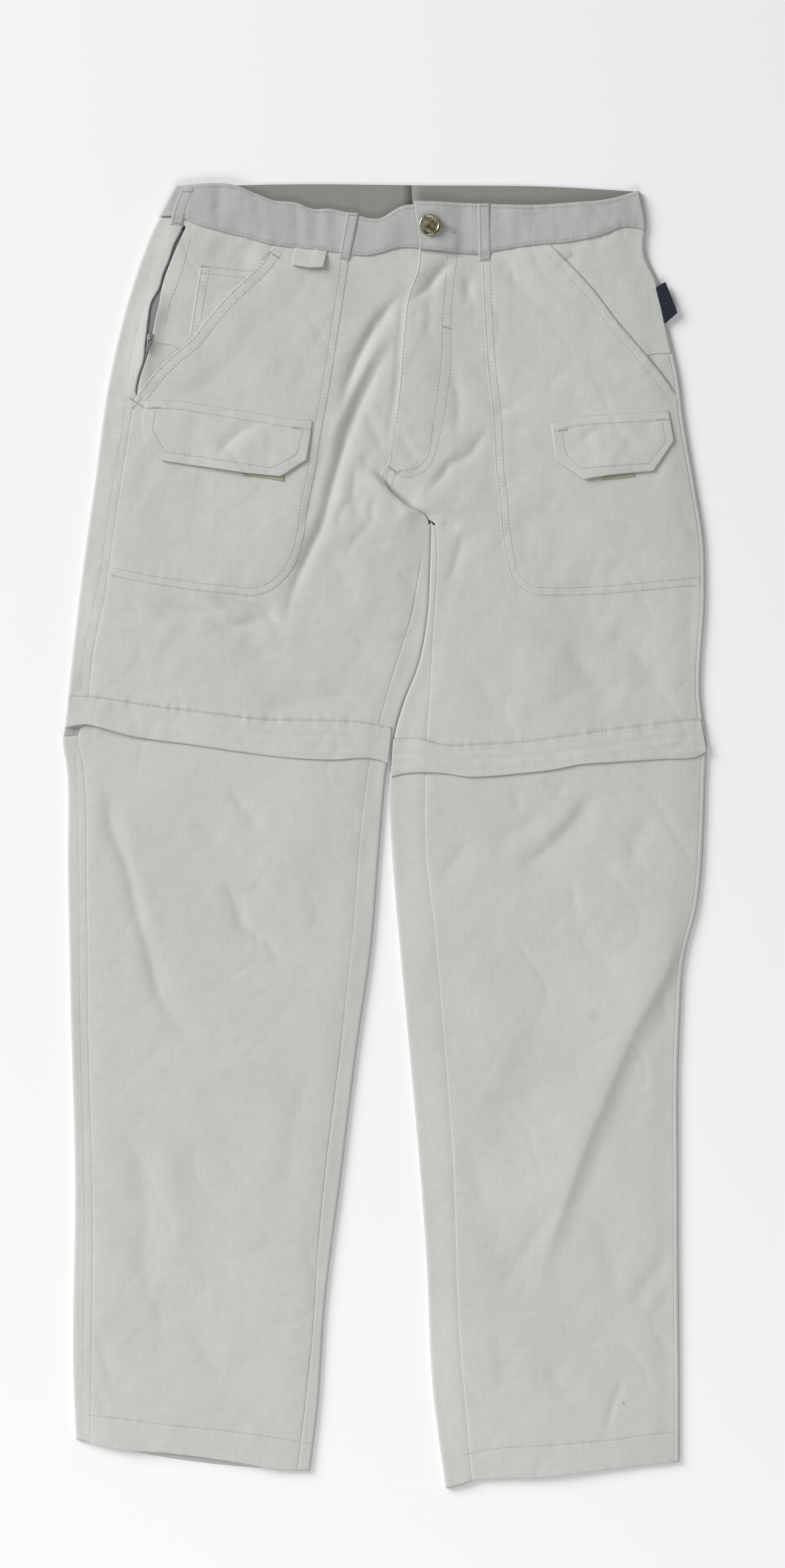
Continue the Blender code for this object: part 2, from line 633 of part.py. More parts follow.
def bail():
    """The arch on the slider, in the YZ plane, on two legs that reach into the slider's body."""
    steps, sides, leg = 8, 8, AXIS_RISE + 0.6
    path = [(-BAIL_R, -leg)]
    path += [(-BAIL_R * math.cos(math.pi * i / steps), BAIL_R * math.sin(math.pi * i / steps))
             for i in range(steps + 1)]
    path += [(BAIL_R, -leg)]
    bm = bmesh.new()
    rings = []
    for i, (y, z) in enumerate(path):
        turn = math.pi * min(max(i - 1, 0), steps) / steps
        out_y, out_z = -math.cos(turn), math.sin(turn)
        ring = []
        for k in range(sides):
            angle = 2 * math.pi * k / sides
            out, side = BAIL_WIRE * math.cos(angle), BAIL_WIRE * math.sin(angle)
            ring.append(bm.verts.new((side, y + out * out_y, z + out * out_z)))
        rings.append(ring)
    for a, b in zip(rings, rings[1:]):
        for k in range(sides):
            bm.faces.new((a[k], a[(k + 1) % sides], b[(k + 1) % sides], b[k]))
    bm.faces.new(rings[0])
    bm.faces.new(rings[-1])
    bmesh.ops.recalc_face_normals(bm, faces=bm.faces)
    return bm


def add_slider(tree):
    """The side pocket's slider and its pull, whose eye turns about an axis under the slider's arch."""
    seat = highest(tree, *SLIDER_AT, SLIDER_L / 2) + GAP
    axis = Vector((*SLIDER_AT, seat + SLIDER_T + AXIS_RISE)) * METRE
    frame = Matrix.Translation(axis) @ Matrix.Rotation(SLIDER_TURN, 4, "Z")

    body = box((SLIDER_W, SLIDER_L, SLIDER_T), (0, 0, -AXIS_RISE - SLIDER_T / 2))
    for vert in body.verts:
        if vert.co.y < 0:
            vert.co.x *= 0.72
    slider = add_object("zip_slider", body, "metal")
    slider.matrix_world = frame
    arch = hidden_piece("slider_arch", bail())
    arch.matrix_world = frame
    join(slider, [arch], "UNION")

    reach = PULL_L - PULL_EYE
    plate = add_object("zip_pull", box((PULL_W, reach, PULL_T), (0, -PULL_EYE - reach / 2, 0)), "metal")
    plate.matrix_world = frame
    side = PULL_W / 2 - PULL_ARM / 2
    arms = [hidden_piece("pull_arm", box((PULL_ARM, PULL_EYE + 0.2, PULL_T), (x, -PULL_EYE / 2 - 0.1, 0)))
            for x in (-side, side)]
    rod = hidden_piece("pull_rod", wire_rod(PULL_T / 2, PULL_W - 0.1))
    for piece in arms + [rod]:
        piece.matrix_world = frame
    join(plate, arms + [rod], "UNION")


def build():
    left_front, left_top, left_knee = build_half(LEFT)
    right_front, _, right_knee = build_half(RIGHT)

    sewn_on("hip_facing_left", left_front, HIP_FACING_LEFT, one_layer)
    sewn_on("hip_facing_right", right_front, HIP_FACING_RIGHT, one_layer)
    sewn_on("side_zip_tape", left_top, SIDE_ZIP_TAPE, one_layer, kind="tape")
    sewn_on("coin_pocket", left_front, COIN_POCKET, two_layers)
    sewn_on("patch_pocket_left", left_front, PATCH_LEFT, patch_lift(SLANT_LEFT))
    sewn_on("patch_pocket_right", right_front, PATCH_RIGHT, patch_lift(SLANT_RIGHT))
    sewn_on("hook_tape_left", left_front, HOOK_TAPE_LEFT, hook_lift, HOOK_T, "hook")
    sewn_on("hook_tape_right", right_front, HOOK_TAPE_RIGHT, hook_lift, HOOK_T, "hook")
    sewn_on("pocket_flap_left", left_front, FLAP_LEFT, flap_lift)
    sewn_on("pocket_flap_right", right_front, FLAP_RIGHT, flap_lift)
    sewn_on("knee_cover_left", left_knee, KNEE_COVER_LEFT, one_layer)
    sewn_on("knee_cover_right", right_knee, KNEE_COVER_RIGHT, one_layer)

    tree = surface_below()
    for strip in STRIPS:
        add_strip(strip, tree)
    add_button(tree)
    add_slider(tree)


for old in list(bpy.data.objects):
    bpy.data.objects.remove(old)
GARMENT = bpy.data.collections.new("zip_off_trousers")
HIDDEN = bpy.data.collections.new("cutters")
for collection in (GARMENT, HIDDEN):
    bpy.context.scene.collection.children.link(collection)
build()
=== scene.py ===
import json
import math
from collections import namedtuple

import bmesh
import bpy
import numpy as np
from mathutils import Matrix, Vector
from mathutils.geometry import delaunay_2d_cdt


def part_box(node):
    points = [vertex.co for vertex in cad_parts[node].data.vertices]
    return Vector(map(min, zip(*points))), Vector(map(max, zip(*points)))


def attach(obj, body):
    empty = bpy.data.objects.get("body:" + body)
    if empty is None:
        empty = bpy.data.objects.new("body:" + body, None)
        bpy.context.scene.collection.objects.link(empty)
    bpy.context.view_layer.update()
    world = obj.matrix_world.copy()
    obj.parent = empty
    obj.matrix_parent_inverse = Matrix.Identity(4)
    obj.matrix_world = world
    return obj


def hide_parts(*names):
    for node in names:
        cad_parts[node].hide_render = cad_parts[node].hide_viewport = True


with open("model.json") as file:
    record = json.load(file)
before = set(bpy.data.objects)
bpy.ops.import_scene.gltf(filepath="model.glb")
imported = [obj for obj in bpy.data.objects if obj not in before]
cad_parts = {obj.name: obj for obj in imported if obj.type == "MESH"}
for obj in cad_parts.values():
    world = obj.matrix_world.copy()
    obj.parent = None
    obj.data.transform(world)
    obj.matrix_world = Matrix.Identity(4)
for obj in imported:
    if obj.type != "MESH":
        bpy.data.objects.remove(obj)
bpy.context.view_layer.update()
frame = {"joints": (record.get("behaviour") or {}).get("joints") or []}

# The looks of zip-off trousers that lie flat with the front up. +X is the picture's right, +Y runs from
# the hems to the waist and +Z is up. Lengths are in millimetres and become metres when a mesh is made.
# "Left" and "right" are as seen from above.
METRE = 0.001
SEED = 7

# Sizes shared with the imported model
CLOTH = 1.2             # its wall of one layer, whose middle the thin cloth here follows
ROLL = 1.7              # radius of the folds at the sides of the legs
RISE = 1.4              # how far the front stands above those folds
RISE_REACH = 28.0
FLOOR_CLEAR = 1.6       # lowest middle of the front cloth
CROTCH_Y = 264.0
KNEE_ZIP = 7.0          # width of the knee zip's chain, between the upper and the lower cloth
ZIP_TAPE = 13.0         # its tape's width, partly under that cloth
FLY_TUCK = 8.0          # how far the left front runs on under the right one
OVERLAP_FLAT = 13.0     # the right front lies flat on the left this far, and is down again a slope on
OVERLAP_SLOPE = 30.0
SLANT_FOOT_Y = 362.0
ZIP_ENDS = (359, 499)   # y of the side zip's ends
ZIP_FADE = 6.0          # over which its slit closes
FLY_FOOT_Y = 293.0      # below it the left leg's cloth folds over the right one's, down to the crotch

# Thin cloth
THIN = 0.55             # one layer
DOUBLE = 1.5            # the waistband
STRIP = 0.7             # a belt loop or a knee zip's cover
FLAP = 0.8              # a pocket's flap
TAPE = 0.4              # a zip's tape
LIFT = 0.6              # from one layer's middle to the next
TUCK = 4.0              # a panel's edge under its neighbour's
FLY_LIFT = 1.5          # the right front above the left one
BAND_LIFT = 3.3         # the right waistband above the left one
BAND_RISE = 1.05        # a waistband above the panels
LOWER_DROP = 0.1        # a lower leg's front, below the upper one
FLAP_RISE = 0.75        # a flap at its seam, above the pocket
COIN_RISE = 0.55        # the coin pocket, above the facing
COVER_RISE = 0.75       # a knee zip's cover, above the front
LABEL_LUMP = 0.25       # height of the label's waves

# Meshes
SPACING = 2.4           # points inside a panel
ALONG = 1.7             # points along its edge and seams
ARC_STEPS = 7           # round the fold at a leg's side
WRAP_TUCK = 3.5         # a wrapped panel's edge under the front's
WRAP_DIP = 0.62         # how far it dips to get there

# Lines down the garment: (y, x)
LEFT_OUTLINE = [(535, -171), (493, -192), (448, -208), (415, -217), (374, -226), (288, -238), (217, -248),
                (140, -257), (93, -262), (80, -264), (58, -261), (-24, -260), (-162, -257), (-274, -254),
                (-452, -255), (-494, -253)]
LEFT_OUTSEAM = [(535, -163), (508, -166), (486, -173), (462, -181), (438, -187), (412, -192), (361, -204),
                (320, -211), (255, -221), (193, -230), (154, -238), (95, -247), (85, -251), (58, -247),
                (-40, -244), (-162, -243), (-312, -239), (-487, -241)]
RIGHT_OUTLINE = [(534, 208), (507, 214), (475, 215), (458, 223), (418, 232), (379, 241), (341, 246),
                 (288, 255), (243, 262), (202, 263), (108, 260), (80, 264), (43, 263), (9, 262), (-60, 256),
                 (-95, 247), (-162, 242), (-295, 241), (-472, 242), (-512, 242)]
RIGHT_OUTSEAM = [(y, x - 4) for y, x in RIGHT_OUTLINE]
FLY = [(521, 24), (482, 28), (469, 27), (441, 18), (416, 15), (367, 11), (309, 3), (293, 1), (273, 18)]
CROTCH_RIGHT = [(293, -5), (273, 12), (262.5, 30), (260.5, 36), (257, 41.5), (250, 42.3)]
LEFT_INSEAM = [(264, 33.5), (222, 29), (175, 20), (135, 7), (99, -3), (63, -12), (18, -18), (-78, -26),
               (-162, -35), (-296, -51), (-430, -61), (-518, -71)]
RIGHT_INSEAM = [(264, 42), (222, 43), (175, 40), (113, 37), (58, 34), (-12, 34), (-77, 41), (-157, 48),
                (-261, 56), (-401, 61), (-528, 72)]
LEFT_INNER = [(264, 38.5), (222, 37.5), (175, 34.5), (141, 27.5), (111, 15.5), (82, 7), (60, 2.5), (5, -3),
              (-101, -12), (-162, -21), (-274, -35), (-385, -49), (-471, -55), (-520, -61)]
RIGHT_INNER = [(264, 38), (222, 37), (175, 34), (141, 27.2), (111, 15.6), (82, 7.6), (50, 4), (-12, 6),
               (-108, 14), (-162, 19), (-342, 34), (-459, 40), (-534, 50)]
CENTRE_BACK = [(536, 22), (265, 34)]

# Lines across the garment: (x, y)
BAND_TOP_LEFT = [(-171, 534), (-122, 534), (-104, 527), (-91, 522), (-72, 520), (-59, 515), (-44, 515),
                 (-30, 512), (-1, 508), (5, 512), (14, 517), (36, 519)]
BAND_TOP_RIGHT = [(24, 521), (87, 519), (113, 518), (154, 520), (184, 523), (208, 530)]
BACK_BAND_TOP = [(-171, 534), (-66, 536), (34, 535), (134, 534), (208, 530)]
WAIST_LEFT = [(-186, 509), (-166, 508), (-153, 502), (-136, 497), (-112, 491), (-92, 485.5), (-71, 483),
              (-38, 479.5), (-12, 477), (-3, 479), (11, 483), (36, 482)]
WAIST_RIGHT = [(26, 482), (59, 479), (77, 478), (88, 480), (120, 485), (153, 488), (168, 491), (182, 495),
               (194, 500), (204, 500), (216, 497)]
BACK_WAIST = [(-186, 509), (-116, 498), (34, 496), (134, 497), (216, 497)]
KNEE_LEFT = [(-264, 86), (-216, 89), (-166, 85), (-91, 77), (-46, 73), (8, 69)]
KNEE_RIGHT = [(4, 57), (48, 60), (87, 58), (140, 64), (188, 69), (264, 77)]
HEM_LEFT = [(-253, -494), (-218, -502), (-178, -505), (-146, -509), (-114, -514), (-92, -518), (-61, -520)]
BACK_HEM_LEFT = [(-253, -494), (-228, -500), (-193, -507), (-152, -513), (-100, -518), (-61, -520)]
HEM_RIGHT = [(50, -534.5), (62, -532), (72, -528), (92, -526), (129, -525), (164, -521), (203, -516),
             (226, -514), (243, -512)]

# Creases of the front: depth in the middle (below 0 is a trough), half width to the left
# and to the right of its direction, how sharp it is (2 is soft, 1 is a sharp line) and points along it
Fold = namedtuple("Fold", "depth left right sharp points")
FOLDS = [
    Fold(-2.4, 4.5, 5, 1.6, [(22, 455), (3, 433), (-15, 407), (-28, 379), (-34, 358), (-38, 338)]),
    Fold(-3.4, 4, 5, 1.5, [(16, 421), (6, 406), (-12, 373), (-29, 334), (-42, 292), (-51, 258), (-66, 225),
                           (-74, 205), (-81, 182), (-89, 160)]),
    Fold(1.0, 4, 4, 1.8, [(6, 418), (-7, 401), (-21, 376), (-38, 340), (-50, 300)]),
    Fold(-1.2, 4, 5, 1.6, [(-16, 353), (-12, 341), (-6, 328), (0, 314)]),
    Fold(-2.3, 9, 3, 1.4, [(-14, 306), (-1, 294), (9, 283), (20, 274), (31, 267)]),
    Fold(1.8, 3, 12, 1.6, [(-16, 302), (-3, 290), (8, 279), (19, 270), (32, 263)]),
    Fold(-0.9, 4, 5, 1.6, [(8, 284), (7, 271), (18, 263)]),
    Fold(-1.4, 4, 5, 1.6, [(-24, 308), (-25, 293), (-26, 280), (-22, 262)]),
    Fold(-0.6, 4, 4, 1.8, [(-28, 307), (-8, 306), (0, 302)]),
    Fold(-1.3, 2.6, 3, 1.5, [(12, 446), (-8, 420), (-22, 392), (-31, 362)]),
    Fold(-0.9, 2.5, 3.5, 1.5, [(0, 404), (-16, 374), (-30, 338), (-40, 300)]),
    Fold(-0.9, 3, 4, 1.6, [(-44, 330), (-56, 296), (-62, 268), (-74, 240)]),
    Fold(-1.1, 2.6, 3, 1.5, [(-6, 279), (-11, 269), (-8, 256)]),
    Fold(-1.0, 2.6, 3, 1.5, [(-26, 280), (-36, 266), (-40, 252)]),
    Fold(-0.9, 3, 3, 1.5, [(-19, 314), (-12, 302)]),
    Fold(-0.8, 3, 3, 1.6, [(-30, 246), (-12, 240), (8, 243)]),
    Fold(-0.8, 3, 4, 1.6, [(-6, 262), (-24, 244), (-34, 226)]),
    Fold(-0.7, 3, 4, 1.6, [(96, 474), (104, 466), (106, 452)]),
    Fold(-0.7, 3, 4, 1.6, [(62, 470), (72, 440), (74, 416)]),
    Fold(-0.6, 5, 5, 2.0, [(-14, 284), (-21, 272), (-24, 256)]),
    Fold(-2.4, 6, 5, 1.6, [(-190, 193), (-170, 188), (-151, 185), (-126, 173), (-103, 178), (-92, 182)]),
    Fold(-2.6, 6, 5, 1.5, [(-148, 201), (-126, 191), (-106, 187), (-95, 183), (-90, 175), (-88, 164)]),
    Fold(1.0, 6, 6, 2.0, [(-170, 196), (-140, 184), (-112, 183), (-100, 182)]),
    Fold(-0.8, 7, 7, 2.0, [(-118, 168), (-103, 155), (-96, 140)]),
    Fold(-1.0, 9, 9, 1.8, [(-120, 102), (-88, 105), (-58, 112), (-33, 115), (-10, 100)]),
    Fold(-0.6, 3, 3, 1.5, [(9, 215), (18, 216), (28, 213)]),
    Fold(-1.1, 3.5, 4, 1.3, [(-228, 111), (-216, 104), (-199, 98)]),
    Fold(-1.2, 3.5, 3.5, 1.3, [(20, 440), (32, 447), (42, 460), (50, 467), (60, 475)]),
    Fold(-0.9, 4, 4, 1.7, [(47, 480), (45, 469), (40, 456), (37, 439), (36, 419), (36, 400)]),
    Fold(-0.6, 3, 3, 1.6, [(19, 424), (30, 431)]),
    Fold(-1.1, 3, 3.5, 1.4, [(76, 458), (68, 452), (68, 445), (66, 433)]),
    Fold(-0.6, 4, 4, 1.8, [(75, 386), (78, 379), (86, 374), (100, 368)]),
    Fold(-1.3, 4, 6, 1.6, [(60, 392), (57, 376), (61, 356), (60, 341), (57, 326)]),
    Fold(-1.7, 3, 5, 1.4, [(88, 342), (78, 325), (70, 314), (62, 309), (53, 306), (48, 297), (39, 287),
                           (28, 275)]),
    Fold(1.0, 5, 5, 1.8, [(64, 316), (52, 312), (44, 302), (34, 292)]),
    Fold(-0.8, 5, 5, 1.9, [(112, 356), (100, 352), (88, 343)]),
    Fold(-0.6, 3, 4, 1.7, [(12, 359), (19, 353), (24, 345)]),
    Fold(-0.7, 3, 4, 1.7, [(11, 330), (19, 318), (27, 308)]),
    Fold(-0.6, 3, 4, 1.7, [(21, 338), (29, 326)]),
    Fold(-1.6, 5, 5, 1.5, [(64, 254), (62, 238), (57, 222), (50, 203)]),
    Fold(-1.2, 4, 4, 1.6, [(46, 259), (62, 254)]),
    Fold(-2.0, 10, 10, 2.0, [(-146, 486), (-126, 480), (-104, 471)]),
    Fold(0.8, 12, 12, 2.0, [(-110, 455), (-72, 452), (-48, 436)]),
    Fold(-0.7, 4, 7, 1.8, [(-90, 462), (-60, 455), (-44, 447)]),
    Fold(-1.0, 12, 12, 2.0, [(-180, 290), (-120, 276), (-84, 262)]),
    Fold(-0.9, 10, 14, 2.0, [(-52, 245), (-38, 222), (-22, 180)]),
    Fold(1.0, 16, 16, 2.0, [(-14, 240), (-22, 200), (-40, 150)]),
    Fold(-0.8, 11, 11, 2.0, [(94, 242), (120, 260), (170, 268)]),
    Fold(-0.9, 12, 14, 2.0, [(98, 262), (124, 240), (160, 226)]),
    Fold(-1.0, 10, 12, 2.0, [(182, 176), (214, 140), (228, 116)]),
    Fold(-1.3, 12, 10, 2.0, [(146, 166), (170, 128), (190, 104)]),
    Fold(-0.8, 9, 9, 2.0, [(70, 146), (82, 120), (104, 96)]),
    Fold(1.2, 20, 20, 2.0, [(90, 190), (130, 150), (150, 110)]),
    Fold(-0.7, 5, 5, 1.8, [(-232, 440), (-220, 420), (-214, 396)]),
    # Across the fly's top, and the ridge that the side zip makes
    Fold(-1.3, 4.5, 2.2, 1.3, [(17, 439), (26, 443), (35, 450), (43, 459), (49, 468), (51, 482)]),
    Fold(0.9, 7, 7, 2.0, [(18, 452), (28, 462), (38, 476)]),
    Fold(2.8, 8, 8, 2.0, [(-180, 455), (-186, 436), (-190, 420), (-193, 404), (-197, 388), (-204, 362)]),
    # Beside the fly's edge, on the left front
    Fold(-0.9, 2.0, 2.0, 1.6, [(25, 470), (15, 440), (12.5, 416), (8.5, 367), (3, 330), (0, 305)]),
    # On the flaps
    Fold(-1.5, 6, 2.5, 1.4, [(-141, 310), (-129, 322), (-119, 331), (-105, 337), (-92, 339)]),
    Fold(0.9, 10, 10, 2.0, [(-124, 314), (-108, 322), (-92, 326)]),
    Fold(-1.1, 2.5, 5, 1.4, [(159, 318), (163, 327), (171, 333), (184, 335), (195, 332), (202, 325),
                             (204, 316)]),
    Fold(0.7, 12, 12, 2.0, [(168, 318), (184, 322), (198, 316)]),
    # Lower left leg
    Fold(-1.9, 8, 6, 1.7, [(-240, 62), (-228, 36), (-224, 8), (-212, -22), (-204, -56), (-194, -92),
                           (-184, -130), (-171, -152), (-150, -176)]),
    Fold(1.1, 9, 9, 2.0, [(-214, 30), (-208, -10), (-194, -60), (-180, -104)]),
    Fold(-1.1, 5, 6, 1.7, [(-128, 46), (-120, 29), (-108, 15), (-100, 4)]),
    Fold(-1.5, 5, 6, 1.6, [(-134, -28), (-122, -56), (-113, -78), (-101, -83), (-79, -112)]),
    Fold(-0.7, 6, 6, 1.9, [(-160, 15), (-146, 6), (-131, -3)]),
    Fold(-1.2, 8, 10, 1.9, [(-214, -232), (-200, -272), (-195, -307), (-197, -349), (-192, -384)]),
    Fold(1.0, 14, 14, 2.0, [(-182, -230), (-172, -290), (-170, -350)]),
    Fold(-1.0, 8, 8, 1.9, [(-163, -398), (-146, -424), (-130, -442), (-104, -444)]),
    Fold(-0.7, 5, 5, 1.8, [(-238, -400), (-229, -428), (-221, -458)]),
    Fold(-0.7, 4, 4, 1.8, [(-238, -452), (-226, -475)]),
    Fold(-0.8, 14, 14, 2.0, [(-150, -190), (-128, -236), (-96, -282)]),
    Fold(0.9, 20, 20, 2.0, [(-90, 20), (-70, -40), (-66, -110)]),
    Fold(-0.8, 10, 10, 2.0, [(-60, -180), (-74, -240), (-80, -310)]),
    # Lower right leg
    Fold(3.2, 8.5, 22, 1.8, [(270, -40), (249, -81), (232, -108), (218, -134), (204, -160), (188, -196),
                             (177, -223), (163, -257), (148, -299), (136, -334), (122, -390)]),
    Fold(-0.7, 14, 6, 1.9, [(262, -58), (251, -81), (235, -108), (221, -134), (207, -160), (191, -196),
                             (180, -223), (166, -257), (151, -299), (139, -334), (126, -386)]),
    Fold(-1.1, 10, 10, 1.9, [(152, -284), (122, -330), (82, -390)]),
    Fold(-1.0, 2.5, 3, 1.3, [(197, -440), (191, -456), (187, -466), (180, -492)]),
    Fold(-1.6, 9, 7, 1.8, [(176, 44), (165, 26), (148, 4), (128, -14), (104, -30)]),
    Fold(1.0, 8, 8, 2.0, [(160, 34), (146, 14), (122, -6)]),
    Fold(-0.9, 7, 7, 1.9, [(132, 20), (108, 6), (84, -10)]),
    Fold(-1.0, 7, 7, 1.9, [(72, 0), (58, -18), (44, -42)]),
    Fold(-1.0, 8, 8, 1.9, [(222, 20), (204, -5), (204, -30)]),
    Fold(-0.6, 4, 4, 1.8, [(131, 50), (141, 42), (151, 39)]),
    Fold(-0.7, 4, 4, 1.8, [(104, 38), (109, 28), (112, 20)]),
    Fold(-0.8, 12, 12, 2.0, [(84, -204), (98, -236), (116, -270)]),
    Fold(-0.8, 8, 8, 2.0, [(68, -246), (76, -278), (82, -310)]),
    Fold(-0.9, 10, 10, 2.0, [(172, -302), (184, -340), (190, -380)]),
    Fold(-0.9, 8, 8, 1.9, [(238, -342), (217, -361), (204, -390)]),
    Fold(-0.6, 7, 7, 2.0, [(93, -398), (98, -455)]),
    Fold(-0.7, 8, 8, 2.0, [(134, -428), (152, -466)]),
    Fold(-1.0, 12, 12, 2.0, [(28, -96), (46, -140), (60, -190)]),
    Fold(0.9, 18, 18, 2.0, [(120, -120), (96, -180), (90, -240)]),
]

# The side pocket's slider and pull
PULL_AXIS = Vector(frame["joints"][0]["pos_m"]) / METRE
SLIDER_TURN = math.radians(-12)
SLIDER_PLACE = Matrix.Translation(PULL_AXIS) @ Matrix.Rotation(SLIDER_TURN, 4, "Z")
SLIDER_SIZE = (2.5, 4.5, 1.8)       # half its width, half its length and its height
SLIDER_PLATE = 0.6                  # thickness of its two plates
AXIS_RISE = 0.75                    # the pull's axis above the slider
BAIL_R = 1.35                       # radius of its arch, and of the arch's wire
BAIL_WIRE = 0.36
PULL_SIZE = (1.8, 11.3, 0.7)        # half its width, its length from the axis and its thickness
PULL_EYE = (0.9, 2.4)               # half its eye's width and the eye's end

# Outlines of what is sewn on the front: (x, y) round each piece, as stretches that meet at corners
SLANT_LEFT = [(-91.5, 484), (-100, 472), (-113.5, 458.5), (-127, 446), (-147, 423), (-158, 409),
              (-174, 395.5), (-194, 374.5), (-203, 362)]
SLANT_RIGHT = [(136.5, 485), (152.5, 468.5), (173, 446), (190, 423.5), (213.5, 396), (230, 375.5), (242, 359)]
COIN_TOP = [(-151, 469), (-113, 465)]
COIN_SIDE = [(-160, 412), (-151, 469)]
COIN_HEM = [(-158, 425), (-151, 467)]       # where its inner stitches start and end
FACING_FOOT_LEFT = [(-164, 397), (-169, 401), (-174, 403), (-190, 405)]
FACING_SIDE_LEFT = [(-190, 405), (-190, 412), (-188, 422.5), (-184.5, 437.5), (-182.5, 450.5), (-180, 459),
                    (-174.5, 473.5), (-167.5, 489.5), (-163, 500), (-158, 520)]
ZIP_EDGE = [(355, -204), (361, -204), (369, -203.5), (379.5, -201), (391.5, -197), (404, -196), (412, -195),
            (425, -193.5), (438.5, -191), (450.5, -184.5), (461.5, -181.5), (473.5, -176.5), (485.5, -172.5),
            (497.5, -166.5), (510, -162)]
ZIP_OPEN = [(355, -203), (361, -203), (369, -202), (391.5, -195), (404, -191), (412, -189), (422.5, -187),
            (437.5, -183.5), (450.5, -181.5), (459, -179), (473.5, -173.5), (489.5, -166.5), (500, -162),
            (510, -160)]
FACING_FOOT_RIGHT = [(205, 390), (216, 395)]
PATCH_EDGE_LEFT = [(-270, 219), (-225, 214), (-202, 209), (-175, 204.5), (-150, 201), (-128, 199),
                   (-105, 197.5), (-90, 203.5), (-79, 214), (-70, 230), (-66, 245), (-62, 272), (-56, 302),
                   (-52, 328), (-48, 350), (-44, 372), (-40, 398), (-34, 437), (-29, 470), (-26, 490)]
PATCH_EDGE_RIGHT = [(290, 208), (261, 206), (218, 202), (177, 198.5), (134, 197.5), (123, 198), (111, 204),
                    (103, 213), (99, 228), (95, 253), (93, 278), (90, 303), (89, 328), (87, 354), (84, 379),
                    (82, 408), (80, 443), (79, 470), (78, 490)]
FLAP_LEFT = [[(-195, 358), (-171, 357.5), (-147, 354), (-107, 347.5), (-72, 342), (-59, 341)],
             [(-59, 341), (-61, 326), (-64, 309)], [(-64, 309), (-85, 295.5)],
             [(-85, 295.5), (-115, 298.5), (-142, 302.5), (-183, 308.5)], [(-183, 308.5), (-199, 327.5)],
             [(-199, 327.5), (-198, 346), (-195, 358)]]
FLAP_RIGHT = [[(136.5, 339), (152.5, 343), (197, 346.5), (233, 349)], [(233, 349), (237, 325)],
              [(237, 325), (220, 300)], [(220, 300), (198, 298), (181, 296), (163, 293)],
              [(163, 293), (140, 309)], [(140, 309), (138, 324), (136.5, 339)]]
HOOK_LEFT = [[(-116, 310), (-82, 306)], [(-82, 306), (-82, 291.5)],
             [(-82, 291.5), (-100, 294.5), (-116, 296)], [(-116, 296), (-116, 310)]]
HOOK_RIGHT = [[(177, 306), (205, 310)], [(205, 310), (205, 295.5)],
              [(205, 295.5), (190, 293.5), (178, 292.5)], [(178, 292.5), (177, 306)]]
COVER_TOP_LEFT = [(-259, 116.5), (-241, 115.5), (-214, 111.5), (-184, 107), (-143, 102), (-102, 97),
                  (-61, 96), (-20, 94.5), (6, 90)]
COVER_LOW_LEFT = [(3, 60.5), (-6, 63.5), (-45, 63.5), (-82, 65.5), (-122, 70.5), (-163, 76.5), (-194, 80.5),
                  (-210, 83.5), (-229, 89), (-245, 92.5), (-261, 90)]
COVER_TOP_RIGHT = [(7, 80.5), (27, 81.5), (48, 76), (81, 76.5), (120, 79), (159, 84.5), (198, 90),
                   (227, 93.5), (259.5, 97)]
COVER_LOW_RIGHT = [(264, 70), (259.5, 67.5), (227, 64), (188, 61.5), (159, 59.5), (139, 55.5), (108, 52),
                   (87, 50), (69, 49.5), (48, 52.5), (27, 53), (13, 51.5), (5, 49.5)]

SIDE_TAPE = [[(-169, 498), (-177, 480), (-184, 460), (-192, 443), (-198, 418), (-201, 395), (-207, 369)],
             [(-199, 368), (-190, 395), (-184, 419), (-178, 446), (-170, 473), (-162, 498)]]
LOOP_SIDE = [[(-167, 531), (-172, 518), (-176, 502)], [(-156, 531), (-161, 518), (-166, 501)]]
LOOP_FRONT_LEFT = [[(-31, 512), (-38, 474)], [(-21, 511.5), (-29, 472)]]
LOOP_FRONT_RIGHT = [[(76, 519), (77, 472)], [(86, 519.5), (87, 472)]]
TAB_OUTLINE = [(-73.5, 484), (-46.5, 482), (-50, 466.5), (-61.5, 466), (-76, 468.5), (-73.5, 484)]
TAB_STITCH = [(-75, 471), (-50.5, 469.5)]
LABEL_OUTLINE = [(222, 450.5), (230, 455.5), (240, 430), (229.5, 421), (222, 450.5)]

# Stitch lines: (x, y)
J_OUTER = [(59.5, 477), (56.5, 457), (54.5, 436), (54, 416), (54, 392), (52, 372), (49, 350), (45, 330),
           (41, 314), (35, 302.5), (23.5, 296), (15.5, 295.5), (9, 298.5)]
J_INNER = [(51.5, 477), (49, 449), (47, 423), (47, 404), (45.5, 385), (42.5, 360), (38.5, 334), (35, 313),
           (28.5, 304), (13, 300)]
HEM_STITCH_LEFT = [(-253, -472.5), (-240, -474), (-215, -476.5), (-184, -481), (-144.5, -485), (-110.5, -489),
                   (-78.5, -494), (-60, -497)]
HEM_STITCH_RIGHT = [(47.5, -509.5), (69, -505.5), (95, -500.5), (126, -499), (164, -496), (187, -494),
                    (210, -490.5), (239, -488)]
OUTSEAM_STITCH = [(-213, 355), (-216, 330), (-221, 303), (-226, 271), (-232, 227), (-239, 190), (-247, 152),
                  (-250, 120)]
LOWER_STITCH = [(-254, 78), (-253.5, 59), (-251.5, -24), (-251, -72), (-250, -162), (-247, -266),
                (-246.5, -349), (-248, -432), (-248, -480)]
FLAP_STITCH_LEFT = [(-188, 350), (-190.5, 333), (-180, 316), (-92.5, 302.5), (-72, 314), (-67, 334)]
